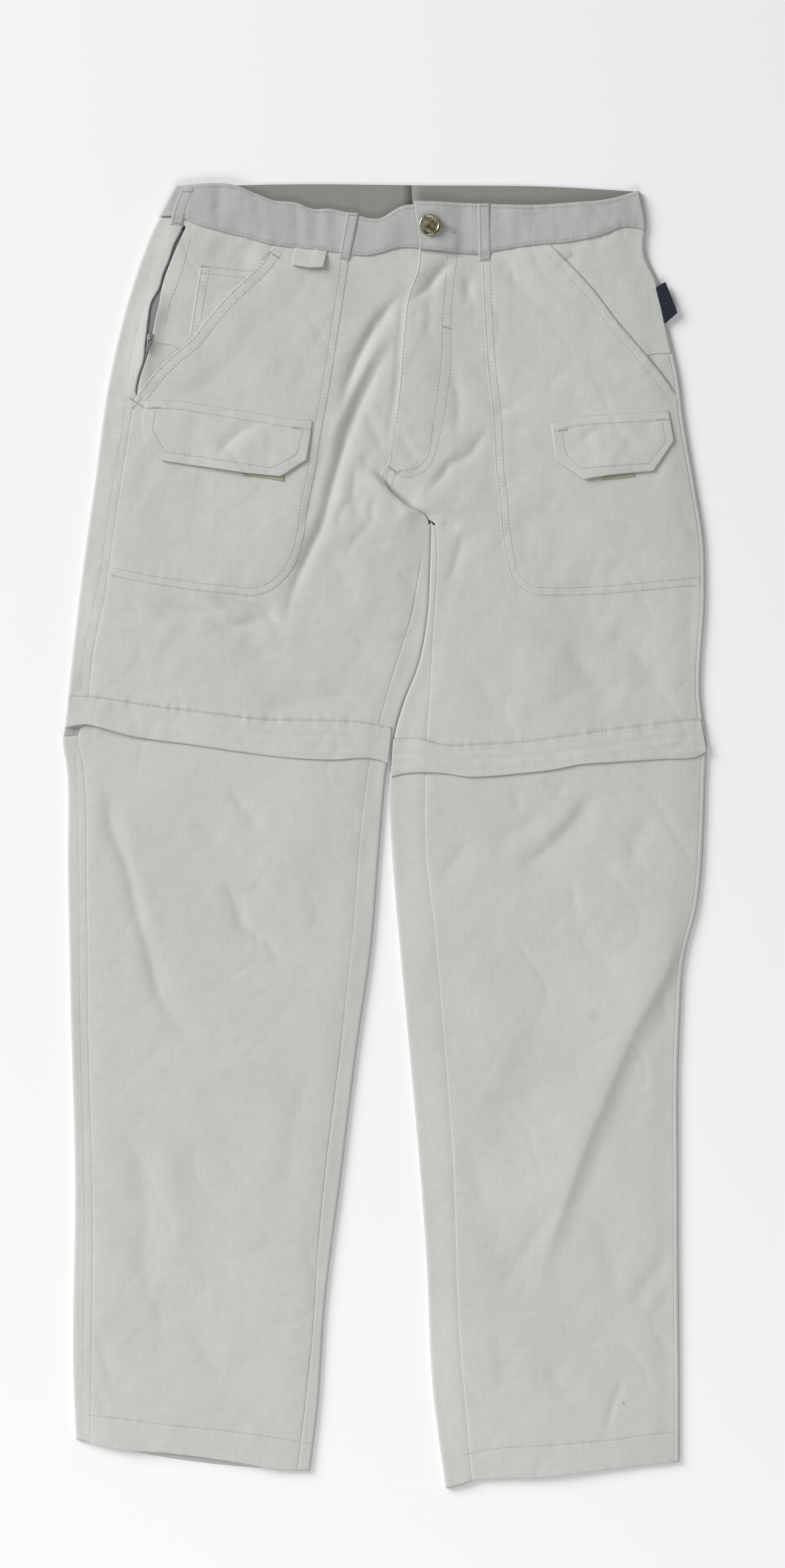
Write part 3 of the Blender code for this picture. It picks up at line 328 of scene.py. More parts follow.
FLAP_STITCH_RIGHT = [(145, 333), (148, 314), (160.5, 302), (216, 306.5), (229, 323), (227, 341)]
FACING_STITCH = [(-159.5, 491), (-163.5, 473), (-170, 453), (-175.5, 440), (-180, 420)]
YOKE_STITCH = [[(-197, 475), (-181, 472)], [(-199, 470.5), (-182, 466.5)], [(-242, 223), (-227, 216)]]
BACK_STITCH = [(-191, 457), (-199, 433), (-209, 387), (-212, 357)]


def smooth(share):
    """0 below 0, 1 above 1 and a soft step between them."""
    share = np.clip(share, 0.0, 1.0)
    return share * share * (3 - 2 * share)


def curve(points, step=2.0):
    """Points, no more than a step apart, of a smooth curve through these."""
    points = np.array(points, float)
    gaps = np.linalg.norm(np.diff(points, axis=0), axis=1)
    chords = np.diff(points, axis=0) / gaps[:, None]
    before, after = gaps[:-1, None], gaps[1:, None]
    between = (chords[:-1] * after + chords[1:] * before) / (before + after)
    slopes = np.vstack([chords[:1], between, chords[-1:]])
    made = []
    for i, gap in enumerate(gaps):
        s = np.linspace(0, 1, int(gap / step) + 2)[:-1, None]
        made.append((1 + 2 * s) * (1 - s) ** 2 * points[i] + s * (1 - s) ** 2 * gap * slopes[i]
                    + s * s * (3 - 2 * s) * points[i + 1] + s * s * (s - 1) * gap * slopes[i + 1])
    return np.vstack(made + [points[-1:]])


def cornered(points):
    """Straight stretches between points."""
    return np.vstack([curve([a, b]) for a, b in zip(points, points[1:])])


def walk(line, step):
    """Points evenly spaced along a line, the unit direction at each and the length up to it."""
    runs = np.linalg.norm(np.diff(line, axis=0), axis=1)
    far = np.concatenate([[0], np.cumsum(runs)])
    count = max(int(round(far[-1] / step)), 1)
    spots = np.linspace(0, far[-1], count + 1)
    points = np.stack([np.interp(spots, far, line[:, 0]), np.interp(spots, far, line[:, 1])], axis=1)
    ahead = np.gradient(points, axis=0)
    return points, ahead / np.maximum(np.linalg.norm(ahead, axis=1), 1e-9)[:, None], spots


def beside(line, distance, step=ALONG):
    """A line moved to its left by a distance."""
    points, ahead, _ = walk(line, step)
    return points + np.stack([-ahead[:, 1], ahead[:, 0]], axis=1) * distance


def track(rows):
    """A smooth line through a table's rows, its first column rising, for at()."""
    line = curve(rows)
    return line[np.argsort(line[:, 0], kind="stable")]


def at(line, value):
    """The second column of a line from track() where its first is this value."""
    return np.interp(value, line[:, 0], line[:, 1])


def away(points, line, reach=60.0):
    """Distance from each point to a line (below 0 on its right), and how far along the line that is."""
    distance = np.full(len(points), 1e6)
    along = np.zeros(len(points))
    near = np.all((points > line.min(0) - reach) & (points < line.max(0) + reach), axis=1).nonzero()[0]
    start, run = line[:-1], np.diff(line, axis=0)
    length2 = (run ** 2).sum(1)
    far = np.concatenate([[0], np.cumsum(np.sqrt(length2))])
    for part in np.array_split(near, len(near) // 3000 + 1):
        if not len(part):
            continue
        rel = points[part][:, None, :] - start
        share = np.clip((rel * run).sum(2) / np.maximum(length2, 1e-9), 0, 1)
        off = rel - share[..., None] * run
        best = (off ** 2).sum(2).argmin(1)
        pick = np.arange(len(part)), best
        side = np.where(run[best, 0] * rel[pick][:, 1] - run[best, 1] * rel[pick][:, 0] < 0, -1, 1)
        distance[part] = np.sqrt((off[pick] ** 2).sum(1)) * side
        along[part] = far[best] + share[pick] * np.sqrt(length2[best])
    return distance, along


def noise(points, size, seed=0):
    """Smooth noise between -1 and 1 over the plane, with bumps of about this size."""
    count = 97
    values = np.random.default_rng(SEED + seed).uniform(-1, 1, (count, count))
    spot = points / np.array(size) + 1000.0
    cell = np.floor(spot).astype(int)
    share = smooth(spot - cell)
    i, j = cell[:, 0] % count, cell[:, 1] % count
    i1, j1 = (i + 1) % count, (j + 1) % count
    low = values[i, j] * (1 - share[:, 0]) + values[i1, j] * share[:, 0]
    high = values[i, j1] * (1 - share[:, 0]) + values[i1, j1] * share[:, 0]
    return low * (1 - share[:, 1]) + high * share[:, 1]


# inward is the way along x from the half's side to its middle
Half = namedtuple("Half", "name inward outline outseam middle inseam inner band_top waist back_waist knee "
                          "hem back_hem")


def make_half(name, inward, outline, outseam, inseam, inner, band_top, waist, knee, hem, back_hem):
    """One side of the garment. Its middle line is the fly's edge down to the crotch, then the inseam."""
    tuck = FLY_TUCK if name == "left" else 0.0
    crotch = [row for row in FLY if row[0] < 300] if name == "left" else CROTCH_RIGHT
    middle = [(y, x + tuck) for y, x in FLY if y > 300] + crotch + inseam[0 if name == "left" else 1:]
    tables = (outline, outseam, middle, inseam, inner, band_top, waist, BACK_WAIST, knee, hem, back_hem)
    return Half(name, inward, *[track(rows) for rows in tables])


LEFT = make_half("left", 1, LEFT_OUTLINE, LEFT_OUTSEAM, LEFT_INSEAM, LEFT_INNER, BAND_TOP_LEFT, WAIST_LEFT,
                 KNEE_LEFT, HEM_LEFT, BACK_HEM_LEFT)
RIGHT = make_half("right", -1, RIGHT_OUTLINE, RIGHT_OUTSEAM, RIGHT_INSEAM, RIGHT_INNER, BAND_TOP_RIGHT,
                  WAIST_RIGHT, KNEE_RIGHT, HEM_RIGHT, HEM_RIGHT)
FLY_LINE = track(FLY)
BACK_TOP = track(BACK_BAND_TOP)
CENTRE = track(CENTRE_BACK)

LOOP_HEM = 1.7          # from a belt loop's edge to its stitches
LOOPS = [("belt_loop_side_left", LEFT, *LOOP_SIDE), ("belt_loop_front_left", LEFT, *LOOP_FRONT_LEFT),
         ("belt_loop_front_right", RIGHT, *LOOP_FRONT_RIGHT)]

# Every sewn line: how deep its groove is, how strong its puckers are and the line itself
Seam = namedtuple("Seam", "groove pucker line")


def lengthwise(rows):
    """A line of (x, y) points from a table of (y, x) rows."""
    return curve([(x, y) for y, x in rows])


CROTCH_LINE = curve([(1, 293), (8, 283), (18, 273), (34, 264)])
PATCH_LINES = {"left": curve(PATCH_EDGE_LEFT), "right": curve(PATCH_EDGE_RIGHT)}
SLANT_LINES = {"left": curve(SLANT_LEFT), "right": curve(SLANT_RIGHT)}
FLAP_LINES = {"left": [curve(part) for part in FLAP_LEFT], "right": [curve(part) for part in FLAP_RIGHT]}
COVER_TOPS = {"left": curve(COVER_TOP_LEFT), "right": curve(COVER_TOP_RIGHT)}
COVER_LOWS = {"left": curve(COVER_LOW_LEFT), "right": curve(COVER_LOW_RIGHT)}


STITCHED = {
    "patch_left": [beside(PATCH_LINES["left"], 1.3), beside(PATCH_LINES["left"], 7.2),
                   beside(SLANT_LINES["left"], 1.4), beside(SLANT_LINES["left"], 8.6)],
    "patch_right": [beside(PATCH_LINES["right"], -1.3), beside(PATCH_LINES["right"], -7.2),
                    beside(SLANT_LINES["right"], -1.4), beside(SLANT_LINES["right"], -8.0)],
    "flap_left": [beside(FLAP_LINES["left"][0], -6.5), cornered(FLAP_STITCH_LEFT)],
    "flap_right": [beside(FLAP_LINES["right"][0], -6.5), cornered(FLAP_STITCH_RIGHT)],
    "front_right": [curve(J_OUTER), curve(J_INNER), curve([(3, 302), (0.7, 291)]),
                    curve([(9, 302), (6, 287)])],
    "facing_left": [curve(FACING_STITCH)],
    "coin": [beside(curve(COIN_TOP), -1.2), beside(curve(COIN_TOP), -6.5), beside(curve(COIN_SIDE), -1.4),
             beside(curve(COIN_HEM), -7.4)],
    "cover_left": [COVER_TOPS["left"]],
    "cover_right": [COVER_TOPS["right"]],
    "hem_left": [curve(HEM_STITCH_LEFT)],
    "hem_right": [curve(HEM_STITCH_RIGHT)],
    "wrap_upper": [curve(OUTSEAM_STITCH)],
    "wrap_lower": [curve(LOWER_STITCH)],
    "back_left": [curve(BACK_STITCH)] + [curve(line) for line in YOKE_STITCH],
}
# Depth of the groove and strength of the puckers, where they aren't the plain ones
GROOVES = {"cover": (0.55, 0.5), "hem": (0.3, 0.2)}
PLAIN_GROOVE = (0.09, 0.15)
WAIST_SEAM_DROP = 3
SEAMS = [Seam(*GROOVES.get(name.split("_")[0], PLAIN_GROOVE), line)
         for name, lines in STITCHED.items() for line in lines]
SEAMS += [Seam(0.0, 0.22, line) for line in (
    curve([(x, y - WAIST_SEAM_DROP) for x, y in WAIST_LEFT]),
    curve([(x, y - WAIST_SEAM_DROP) for x, y in WAIST_RIGHT]),
    curve(HEM_LEFT), curve(HEM_RIGHT), curve(KNEE_LEFT), curve(KNEE_RIGHT))]


# A fold's slope that faces the light is the longer one. The second vector is the first, turned a quarter
# right: a line along it has the light on its left.
FOLD_GAIN = 1.15
LIT_SIDE = 1.5
TO_LIGHT = np.array([-0.84, 0.54])
LIGHT_ON_LEFT = np.array([TO_LIGHT[1], -TO_LIGHT[0]])


def creases(points):
    """Height of the listed folds."""
    total = np.zeros(len(points))
    for fold in FOLDS:
        line = curve(fold.points, 4.0)
        distance, along = away(points, line, 3.2 * max(fold.left, fold.right))
        near = np.abs(distance) < 4 * max(fold.left, fold.right)
        length = np.linalg.norm(np.diff(line, axis=0), axis=1).sum()
        share = along[near] / length
        heading = line[-1] - line[0]
        left_shaded = (heading @ LIGHT_ON_LEFT > 0) == (fold.depth < 0)
        wide = np.where((distance[near] > 0) == left_shaded, 1.0, LIT_SIDE)
        width = wide * np.where(distance[near] > 0, fold.left, fold.right)
        ends = smooth(np.minimum(share, 1 - share) / 0.3 + 0.02)
        across_it = np.abs(distance[near]) / width
        core = np.exp(-(across_it / 0.36) ** 1.3)
        total[near] += FOLD_GAIN * fold.depth * ends * (0.8 * np.exp(-across_it ** fold.sharp) + 0.2 * core)
    return total


def waves(points):
    """Soft unevenness of worn cloth, stronger above the knees."""
    tilted, tilted_back = points @ TILT, points @ TILT.T
    upper = 0.75 + 0.5 * smooth((points[:, 1] - 60) / 120)
    ridges = (1 - np.abs(noise(tilted, (30, 52), 41))) ** 9 * smooth(noise(points, (60, 80), 42) + 0.5)
    small = (1 - np.abs(noise(tilted_back, (24, 36), 43))) ** 9 * smooth(noise(points, (50, 70), 44) + 0.3)
    fine = 0.38 * noise(tilted, (22, 41), 2) + 0.22 * noise(tilted_back, (11, 19), 3)
    return (0.75 * noise(points, (74, 96), 1) - 0.55 * (ridges + 0.6 * small)
            + upper * (fine + 0.075 * noise(points, (5, 7), 4)))


# The relief is worked out once on a grid, from GRID_START up to GRID_END
TILT = np.array([[math.cos(0.6), -math.sin(0.6)], [math.sin(0.6), math.cos(0.6)]])
GRID_START = np.array([-290.0, -560.0])
GRID_END = np.array([300.0, 560.0])
GRID_STEP = 1.2
GRID_X, GRID_Y = np.meshgrid(*[np.arange(low, high, GRID_STEP) for low, high in zip(GRID_START, GRID_END)])
GRID_SPOTS = np.column_stack([GRID_X.ravel(), GRID_Y.ravel()])
RELIEF = (creases(GRID_SPOTS) + waves(GRID_SPOTS)).reshape(GRID_X.shape)


def relief(points):
    """Folds and unevenness, looked up in the grid."""
    spot = (points - GRID_START) / GRID_STEP
    limits = np.array(RELIEF.shape)[::-1] - 1.001
    spot = np.clip(spot, 0, limits)
    cell = spot.astype(int)
    share = spot - cell
    j, i = cell[:, 0], cell[:, 1]
    low = RELIEF[i, j] * (1 - share[:, 0]) + RELIEF[i, j + 1] * share[:, 0]
    high = RELIEF[i + 1, j] * (1 - share[:, 0]) + RELIEF[i + 1, j + 1] * share[:, 0]
    return low * (1 - share[:, 1]) + high * share[:, 1]


def sewing(points):
    """Grooves and puckers along the sewn lines."""
    total = np.zeros(len(points))
    for i, seam in enumerate(SEAMS):
        distance, along = away(points, seam.line, 14.0)
        near = np.abs(distance) < 14
        d = np.abs(distance[near])
        spot = np.stack([along[near], np.full(near.sum(), 9.0 * i)], axis=1)
        pull = noise(spot, (4.2, 3.0), 5) * np.exp(-(d / 4.2) ** 2)
        pull = pull + 0.5 * noise(spot, (9.0, 3.0), 6) * np.exp(-(d / 8.0) ** 2)
        total[near] += seam.pucker * pull - seam.groove * np.exp(-(d / 0.9) ** 2)
    return total


def ground(half, points):
    """Middle of the front cloth, before anything laps over it."""
    x, y = points[:, 0], points[:, 1]
    side = np.abs(x - at(half.outline, y))
    inner = np.abs(x - at(half.inner, y)) + 200 * smooth((y - CROTCH_Y) / 20)
    side = np.where(y < CROTCH_Y + 20, np.minimum(side, inner), side)
    flat = CLOTH / 2 + 2 * ROLL + RISE * smooth(side / RISE_REACH)
    return np.maximum(flat + relief(points) * smooth(side / 14) + sewing(points), FLOOR_CLEAR)


def overlap(half, lift, points):
    """The right front and waistband lie on the left ones along the fly."""
    if half is LEFT:
        return 0.0
    x, y = points[:, 0], points[:, 1]
    along = 1 - smooth((x - at(FLY_LINE, y) - OVERLAP_FLAT) / OVERLAP_SLOPE)
    return lift * along * smooth((y - FLY_FOOT_Y) / 14)


def fly_lift(half, points):
    """The overlap at the fly, and below it the left leg's cloth over the right one's as far as the crotch."""
    below = smooth((FLY_FOOT_Y + 2 - points[:, 1]) / 10) * smooth((points[:, 1] - CROTCH_Y + 12) / 10)
    near = np.exp(-(away(points, CROTCH_LINE, 30.0)[0] / 9) ** 2) * below
    return overlap(half, FLY_LIFT, points) + (0.8 if half is LEFT else -0.5) * near


def inside(points, edge):
    """Whether each point is inside a closed edge."""
    found = np.zeros(len(points), bool)
    a, b = edge, np.roll(edge, -1, axis=0)
    for part in np.array_split(np.arange(len(points)), len(points) // 4000 + 1):
        x, y = points[part, 0][:, None], points[part, 1][:, None]
        crossing = (a[:, 1] > y) != (b[:, 1] > y)
        with np.errstate(divide="ignore", invalid="ignore"):
            meet = a[:, 0] + (y - a[:, 1]) / (b[:, 1] - a[:, 1]) * (b[:, 0] - a[:, 0])
        found[part] = (crossing & (x < meet)).sum(1) % 2 == 1
    return found


def closed_edge(stretches):
    """One anticlockwise ring of points from stretches that meet at corners."""
    parts = [walk(part, ALONG)[0][:-1] for part in stretches]
    ring = np.vstack(parts)
    x, y = ring[:, 0], ring[:, 1]
    area = (x * np.roll(y, -1) - np.roll(x, -1) * y).sum() / 2
    return (ring if area > 0 else ring[::-1]), abs(area)


def fill(ring, lines, spacing):
    """Triangles inside a ring, with rows of points along it and along the sewn lines."""
    loop = np.vstack([ring, ring[:1]])
    rows = [beside(loop, inset) for inset in (0.55, 1.3)]
    for line in lines:
        rows += [beside(line, shift) for shift in (0.0, 0.9, -0.9, 2.0, -2.0)]
    rows = np.vstack(rows)
    rows = rows[inside(rows, ring)]
    rows = rows[np.abs(away(rows, loop)[0]) > 0.5]
    low, high = ring.min(0), ring.max(0)
    xs = np.arange(low[0], high[0], spacing)
    ys = np.arange(low[1], high[1], spacing * 0.866)
    grid = np.stack(np.meshgrid(xs, ys), axis=2)
    grid[1::2, :, 0] += spacing / 2
    grid = grid.reshape(-1, 2)
    grid = grid[inside(grid, ring)]
    grid = grid[np.abs(away(grid, loop)[0]) > 1.3 + spacing * 0.55]
    for line in lines:
        grid = grid[np.abs(away(grid, line, 8.0)[0]) > 2.0 + spacing * 0.5]
    points = [Vector(p) for p in np.vstack([ring, rows, grid])]
    edges = [(i, (i + 1) % len(ring)) for i in range(len(ring))]
    verts, _, faces = delaunay_2d_cdt(points, edges, [], 1, 0.2)[:3]
    return np.array(verts), faces


def add_mesh(name, verts, faces, finish):
    """An object from points in millimetres, shaded smooth."""
    mesh = bpy.data.meshes.new(name)
    mesh.from_pydata((np.asarray(verts) * METRE).tolist(), [], [list(face) for face in faces])
    mesh.materials.append(finish)
    mesh.polygons.foreach_set("use_smooth", [True] * len(mesh.polygons))
    mesh.update()
    made = bpy.data.objects.new(name, mesh)
    bpy.context.scene.collection.objects.link(made)
    return made


def thicken(made, thickness, offset=-1.0):
    """Gives a sheet its thickness, below it or, with an offset of 0, to both sides."""
    wall = made.modifiers.new("wall", "SOLIDIFY")
    wall.thickness = thickness * METRE
    wall.offset = offset
    wall.use_even_offset = False


def declare(made, node, flat, area):
    """Attaches the piece to the garment's body and hides the imported part that it stands for; the size and
    area of its sheet are worked out and not used.
    """
    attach(made, "garment")
    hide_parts(node)
    width, length = flat
    area = min(area * 1e-6, width * length * 1e-6)


def smallest_box(ring):
    """Width and length of the smallest oblong round a flat outline."""
    sizes = []
    for angle in np.radians(np.arange(0, 90, 3)):
        turned = ring @ np.array([[math.cos(angle), -math.sin(angle)], [math.sin(angle), math.cos(angle)]])
        sizes.append(sorted(turned.max(0) - turned.min(0)))
    return min(sizes, key=lambda size: size[0] * size[1])


def panel(node, stretches, height, finish, lines=(), spacing=SPACING, thickness=THIN, roll=0.3):
    """A thin piece of cloth over the front. height gives the middle of its cloth at each point."""
    ring, area = closed_edge(stretches)
    verts, faces = fill(ring, lines, spacing)
    edge = np.abs(away(verts, np.vstack([ring, ring[:1]]), 10.0)[0])
    drop = roll * (1 - np.sqrt(np.clip(1 - (1 - np.clip(edge / 1.3, 0, 1)) ** 2, 0, 1)))
    z = height(verts) + thickness / 2 - drop
    made = add_mesh(node + "_cloth", np.column_stack([verts, z]), faces, finish)
    thicken(made, thickness)
    declare(made, node, smallest_box(ring), area)


WAIST_Y, KNEE_Y, HEM_Y = 490, 80, -500      # about where the waist seam, the knee zips and the hems are


def crossing(line_x, line_y, y0):
    """Where a line x(y) meets a line y(x), looked for from y0."""
    y = y0
    for _ in range(8):
        y = float(at(line_y, at(line_x, y)))
    return np.array([float(at(line_x, y)), y])


def span_y(line, y0, y1, step=2.0):
    """Points down or up a line x(y)."""
    ys = np.linspace(y0, y1, max(int(abs(y1 - y0) / step), 2))
    return np.stack([at(line, ys), ys], axis=1)


def span_x(line, x0, x1, step=2.0):
    """Points across a line y(x)."""
    xs = np.linspace(x0, x1, max(int(abs(x1 - x0) / step), 2))
    return np.stack([xs, at(line, xs)], axis=1)


def moved_up(line, lift):
    return line + np.array([0.0, lift])


def ring_faces(rings, sides):
    """Faces between rings of points that lie one after another."""
    faces = []
    for low in range(0, (rings - 1) * sides, sides):
        high = low + sides
        for k in range(sides):
            after = (k + 1) % sides
            faces.append((low + k, low + after, high + after, high + k))
    return faces


def end_faces(rings, sides):
    """The faces that close the first ring and the last one."""
    return [tuple(range(sides))[::-1], tuple(range((rings - 1) * sides, rings * sides))]


def region(side, middle, top, bottom, y_top, y_bottom):
    """The outline between two lines down the garment and two across it."""
    a, b = crossing(side, top, y_top), crossing(middle, top, y_top)
    c, d = crossing(middle, bottom, y_bottom), crossing(side, bottom, y_bottom)
    return [span_x(top, a[0], b[0]), span_y(middle, b[1], c[1]), span_x(bottom, c[0], d[0]),
            span_y(side, d[1], a[1])]


def colour(*srgb):
    """Linear colour from sRGB values of 0 to 255."""
    values = [v / 255 for v in srgb]
    return tuple(v / 12.92 if v <= 0.04045 else ((v + 0.055) / 1.055) ** 2.4 for v in values) + (1.0,)


def new_material(name, base, roughness, metallic=0.0, sheen=0.0):
    """A material of one colour, its nodes and its shader."""
    made = bpy.data.materials.new(name)
    made.use_nodes = True
    shader = made.node_tree.nodes["Principled BSDF"]
    shader.inputs["Base Color"].default_value = base
    shader.inputs["Roughness"].default_value = roughness
    shader.inputs["Metallic"].default_value = metallic
    shader.inputs["Sheen Weight"].default_value = sheen
    shader.inputs["Specular IOR Level"].default_value = 0.25 if metallic == 0 else 0.5
    return made, made.node_tree, shader


def scaled_coordinates(tree, scale, turn=0.0):
    """The object's own coordinates, in metres, times a scale."""
    place = tree.nodes.new("ShaderNodeTexCoord")
    mapping = tree.nodes.new("ShaderNodeMapping")
    mapping.inputs["Scale"].default_value = scale
    mapping.inputs["Rotation"].default_value = (0, 0, turn)
    tree.links.new(place.outputs["Object"], mapping.inputs["Vector"])
    return mapping.outputs["Vector"]


def noise_node(tree, vector, detail=2.0):
    node = tree.nodes.new("ShaderNodeTexNoise")
    node.inputs["Scale"].default_value = 1.0
    node.inputs["Detail"].default_value = detail
    tree.links.new(vector, node.inputs["Vector"])
    return node.outputs["Fac"]


def maths(tree, operation, a, b):
    """A sum of two values, each a number or a socket."""
    node = tree.nodes.new("ShaderNodeMath")
    node.operation = operation
    for socket, value in zip(node.inputs, (a, b)):
        if isinstance(value, (int, float)):
            socket.default_value = value
        else:
            tree.links.new(value, socket)
    return node.outputs[0]


def ramp(tree, value, stops):
    """A colour from a value, through (position, colour) stops."""
    node = tree.nodes.new("ShaderNodeValToRGB")
    for element, (position, shade) in zip(node.color_ramp.elements, stops):
        element.position = position
        element.color = shade
    tree.links.new(value, node.inputs["Fac"])
    return node.outputs["Color"]


def bump(tree, shader, height, strength, distance):
    node = tree.nodes.new("ShaderNodeBump")
    node.inputs["Strength"].default_value = strength
    node.inputs["Distance"].default_value = distance
    tree.links.new(height, node.inputs["Height"])
    tree.links.new(node.outputs["Normal"], shader.inputs["Normal"])


WAVE_BANDS = 3.1831     # bands a unit in Blender's wave texture, at a scale of 1


def weave(tree, pitch):
    """Height of a plain weave: threads across over threads along."""
    threads = []
    for axis in "XY":
        node = tree.nodes.new("ShaderNodeTexWave")
        node.wave_type, node.bands_direction, node.wave_profile = "BANDS", axis, "SIN"
        node.inputs["Scale"].default_value = 1.0 / pitch / WAVE_BANDS
        node.inputs["Distortion"].default_value = 0.6
        node.inputs["Detail Scale"].default_value = 0.4
        tree.links.new(scaled_coordinates(tree, (1, 1, 1)), node.inputs["Vector"])
        threads.append(node.outputs["Fac"])
    return maths(tree, "MULTIPLY", *threads)


def cloth_material(name, base, shade=0.085, pitch=0.00055):
    """Worn plain-weave cloth: slubs both ways, faint clouds and a fine weave of this pitch in metres."""
    made, tree, shader = new_material(name, base, 0.86, sheen=0.12)
    weft = noise_node(tree, scaled_coordinates(tree, (90, 900, 90)), 3.0)
    warp = noise_node(tree, scaled_coordinates(tree, (900, 90, 90)), 3.0)
    clouds = noise_node(tree, scaled_coordinates(tree, (9, 9, 9)), 4.0)
    slubs = maths(tree, "ADD", weft, warp)
    mixed = maths(tree, "ADD", maths(tree, "MULTIPLY", slubs, 0.3), maths(tree, "MULTIPLY", clouds, 0.4))
    dark = tuple(v * (1 - shade) for v in base[:3]) + (1.0,)
    light = tuple(v * (1 + shade) for v in base[:3]) + (1.0,)
    tint = ramp(tree, mixed, [(0.3, dark), (0.7, light)])
    tree.links.new(tint, shader.inputs["Base Color"])
    relief = maths(tree, "ADD", maths(tree, "MULTIPLY", weave(tree, pitch), 0.5), slubs)
    bump(tree, shader, relief, 0.35, 0.0002)
    return made


def marked_cloth(name, base, marks):
    """The same cloth with small darker marks, each a place, a reach and a strength."""
    made = cloth_material(name, base)
    tree = made.node_tree
    shader = tree.nodes["Principled BSDF"]
    tint = shader.inputs["Base Color"].links[0].from_socket
    spot = scaled_coordinates(tree, (1, 1, 1))
    wobble = noise_node(tree, scaled_coordinates(tree, (420, 420, 420)))
    for place, reach, strength in marks:
        gap = tree.nodes.new("ShaderNodeVectorMath")
        gap.operation = "DISTANCE"
        tree.links.new(spot, gap.inputs[0])
        gap.inputs[1].default_value = [value * METRE for value in place]
        edge = maths(tree, "ADD", gap.outputs["Value"], maths(tree, "MULTIPLY", wobble, reach * METRE))
        shade = ramp(tree, maths(tree, "DIVIDE", edge, 2.4 * reach * METRE),
                     [(0.3, (1 - strength,) * 3 + (1.0,)), (0.62, (1.0, 1.0, 1.0, 1.0))])
        mix = tree.nodes.new("ShaderNodeMix")
        mix.data_type = "RGBA"
        mix.blend_type = "MULTIPLY"
        mix.inputs["Factor"].default_value = 1.0
        under, over = [socket for socket in mix.inputs if socket.type == "RGBA"]
        tree.links.new(tint, under)
        tree.links.new(shade, over)
        tint = next(socket for socket in mix.outputs if socket.type == "RGBA")
    tree.links.new(tint, shader.inputs["Base Color"])
    return made


STONE = colour(195.5, 198.2, 193.8)
CLOTH_LOOK = cloth_material("cloth", STONE)
MARKED_LOOK = marked_cloth("marked_cloth", STONE, [((170.5, -147, 6), 7.0, 0.1), ((196, -464, 6), 1.4, 0.6)])
# A darker cloth for the waistband and the belt loops. Its darkness is painted shade, for light that falls off
# towards the waist.
SHADED_BAND_LOOK = cloth_material("waistband_cloth", colour(179, 182, 178.5))
# Painted shade: a dark grey cloth for the inside of the waistband's back, where shadow falls between the
# layers.
INSIDE_SHADE_LOOK = cloth_material("inner_cloth_painted_shade", colour(139, 140, 134))
THREAD_LOOK = cloth_material("thread", colour(193, 196, 191), pitch=0.0003)
TAPE_LOOK = cloth_material("zip_tape", colour(165, 168, 164), pitch=0.0008)
# The side zip's tape is a darker grey than the knee zips' tape. The extra darkness is painted shade of the
# slit it lies in.
SHADED_TAPE_LOOK = cloth_material("zip_tape_painted_shade", colour(128, 130, 132), pitch=0.0008)
HOOK_LOOK = cloth_material("hook_tape", colour(160, 165, 140), pitch=0.0012)
LABEL_LOOK = cloth_material("label", colour(35, 38, 52), 0.15, pitch=0.0003)
METAL_LOOK = new_material("zip_metal", colour(168, 170, 168), 0.34, 0.9)[0]
PALE_BRASS_LOOK = new_material("worn_brass", colour(214, 212, 186), 0.3, 1.0)[0]


def brass_material():
    """Antique brass, worn bright in places."""
    made, tree, shader = new_material("antique_brass", colour(160, 155, 122), 0.32, 1.0)
    patches = noise_node(tree, scaled_coordinates(tree, (260, 260, 260)), 3.0)
    tint = ramp(tree, patches, [(0.38, colour(112, 106, 78)), (0.62, colour(196, 194, 164))])
    tree.links.new(tint, shader.inputs["Base Color"])
    return made


BRASS_LOOK = brass_material()


def slant_lift(half, points):
    """A patch pocket is one layer up, and two along its slanted edge, where the facing runs under it.

    Its sewn edges are pressed down into the panel below.
    """
    distance = np.abs(away(points, SLANT_LINES[half.name], 60.0)[0])
    along = smooth((points[:, 1] - SLANT_FOOT_Y) / 14) * (1 - smooth((distance - 22) / 18))
    sewn = np.abs(away(points, PATCH_LINES[half.name], 12.0)[0])
    sewn = np.minimum(sewn, np.abs(points[:, 0] - at(half.outseam, points[:, 1])) + 30 * along)
    seam = 0.25 + 0.75 * smooth((at(half.waist, points[:, 0]) - points[:, 1] - 1) / 9)
    return LIFT * (0.16 + 0.84 * smooth(sewn / 13) + 1.85 * along) * seam


def hem_rise(half, points):
    """The turned-in edges of a patch pocket make it thicker there."""
    rise = 0.0
    for line in (PATCH_LINES[half.name], SLANT_LINES[half.name]):
        distance = np.abs(away(points, line, 20.0)[0])
        rise = rise + 0.06 * (1 - smooth((distance - 6.6) / 1.8))
    return rise


def band_rise(half):
    """The doubled waistband stands above the panels, and its sewn edges are a little lower."""
    top, low = half.band_top, half.waist

    def rise(points):
        x, y = points[:, 0], points[:, 1]
        depth = at(top, x) - at(low, x)
        up = np.clip((y - at(low, x)) / depth, 0, 1) * depth
        ends = np.minimum(up, depth - up)
        wrinkles = 0.55 * noise(points, (8, 26), 11) + 0.6 * noise(points, (26, 20), 12)
        pleats = np.exp(-(ends / 6) ** 2) * 0.22 * noise(points, (3.4, 12), 13)
        edge = 0.5 * (1 - np.sqrt(np.clip(1 - (1 - np.clip(ends / 1.6, 0, 1)) ** 2, 0, 1)))
        groove = 0.3 * np.exp(-((ends - 2.6) / 0.9) ** 2)
        wrinkles = wrinkles * (0.35 + 0.65 * smooth(ends / 6))
        return BAND_RISE + wrinkles + pleats - edge - groove + overlap(half, BAND_LIFT, points)
    return rise


def raised(half, rise):
    """Height of cloth that lies this far above the front's."""
    return lambda p: ground(half, p) + rise


def front_height(half):
    return lambda p: ground(half, p) + fly_lift(half, p)


def patch_height(half):
    return lambda p: ground(half, p) + fly_lift(half, p) + slant_lift(half, p) + hem_rise(half, p)


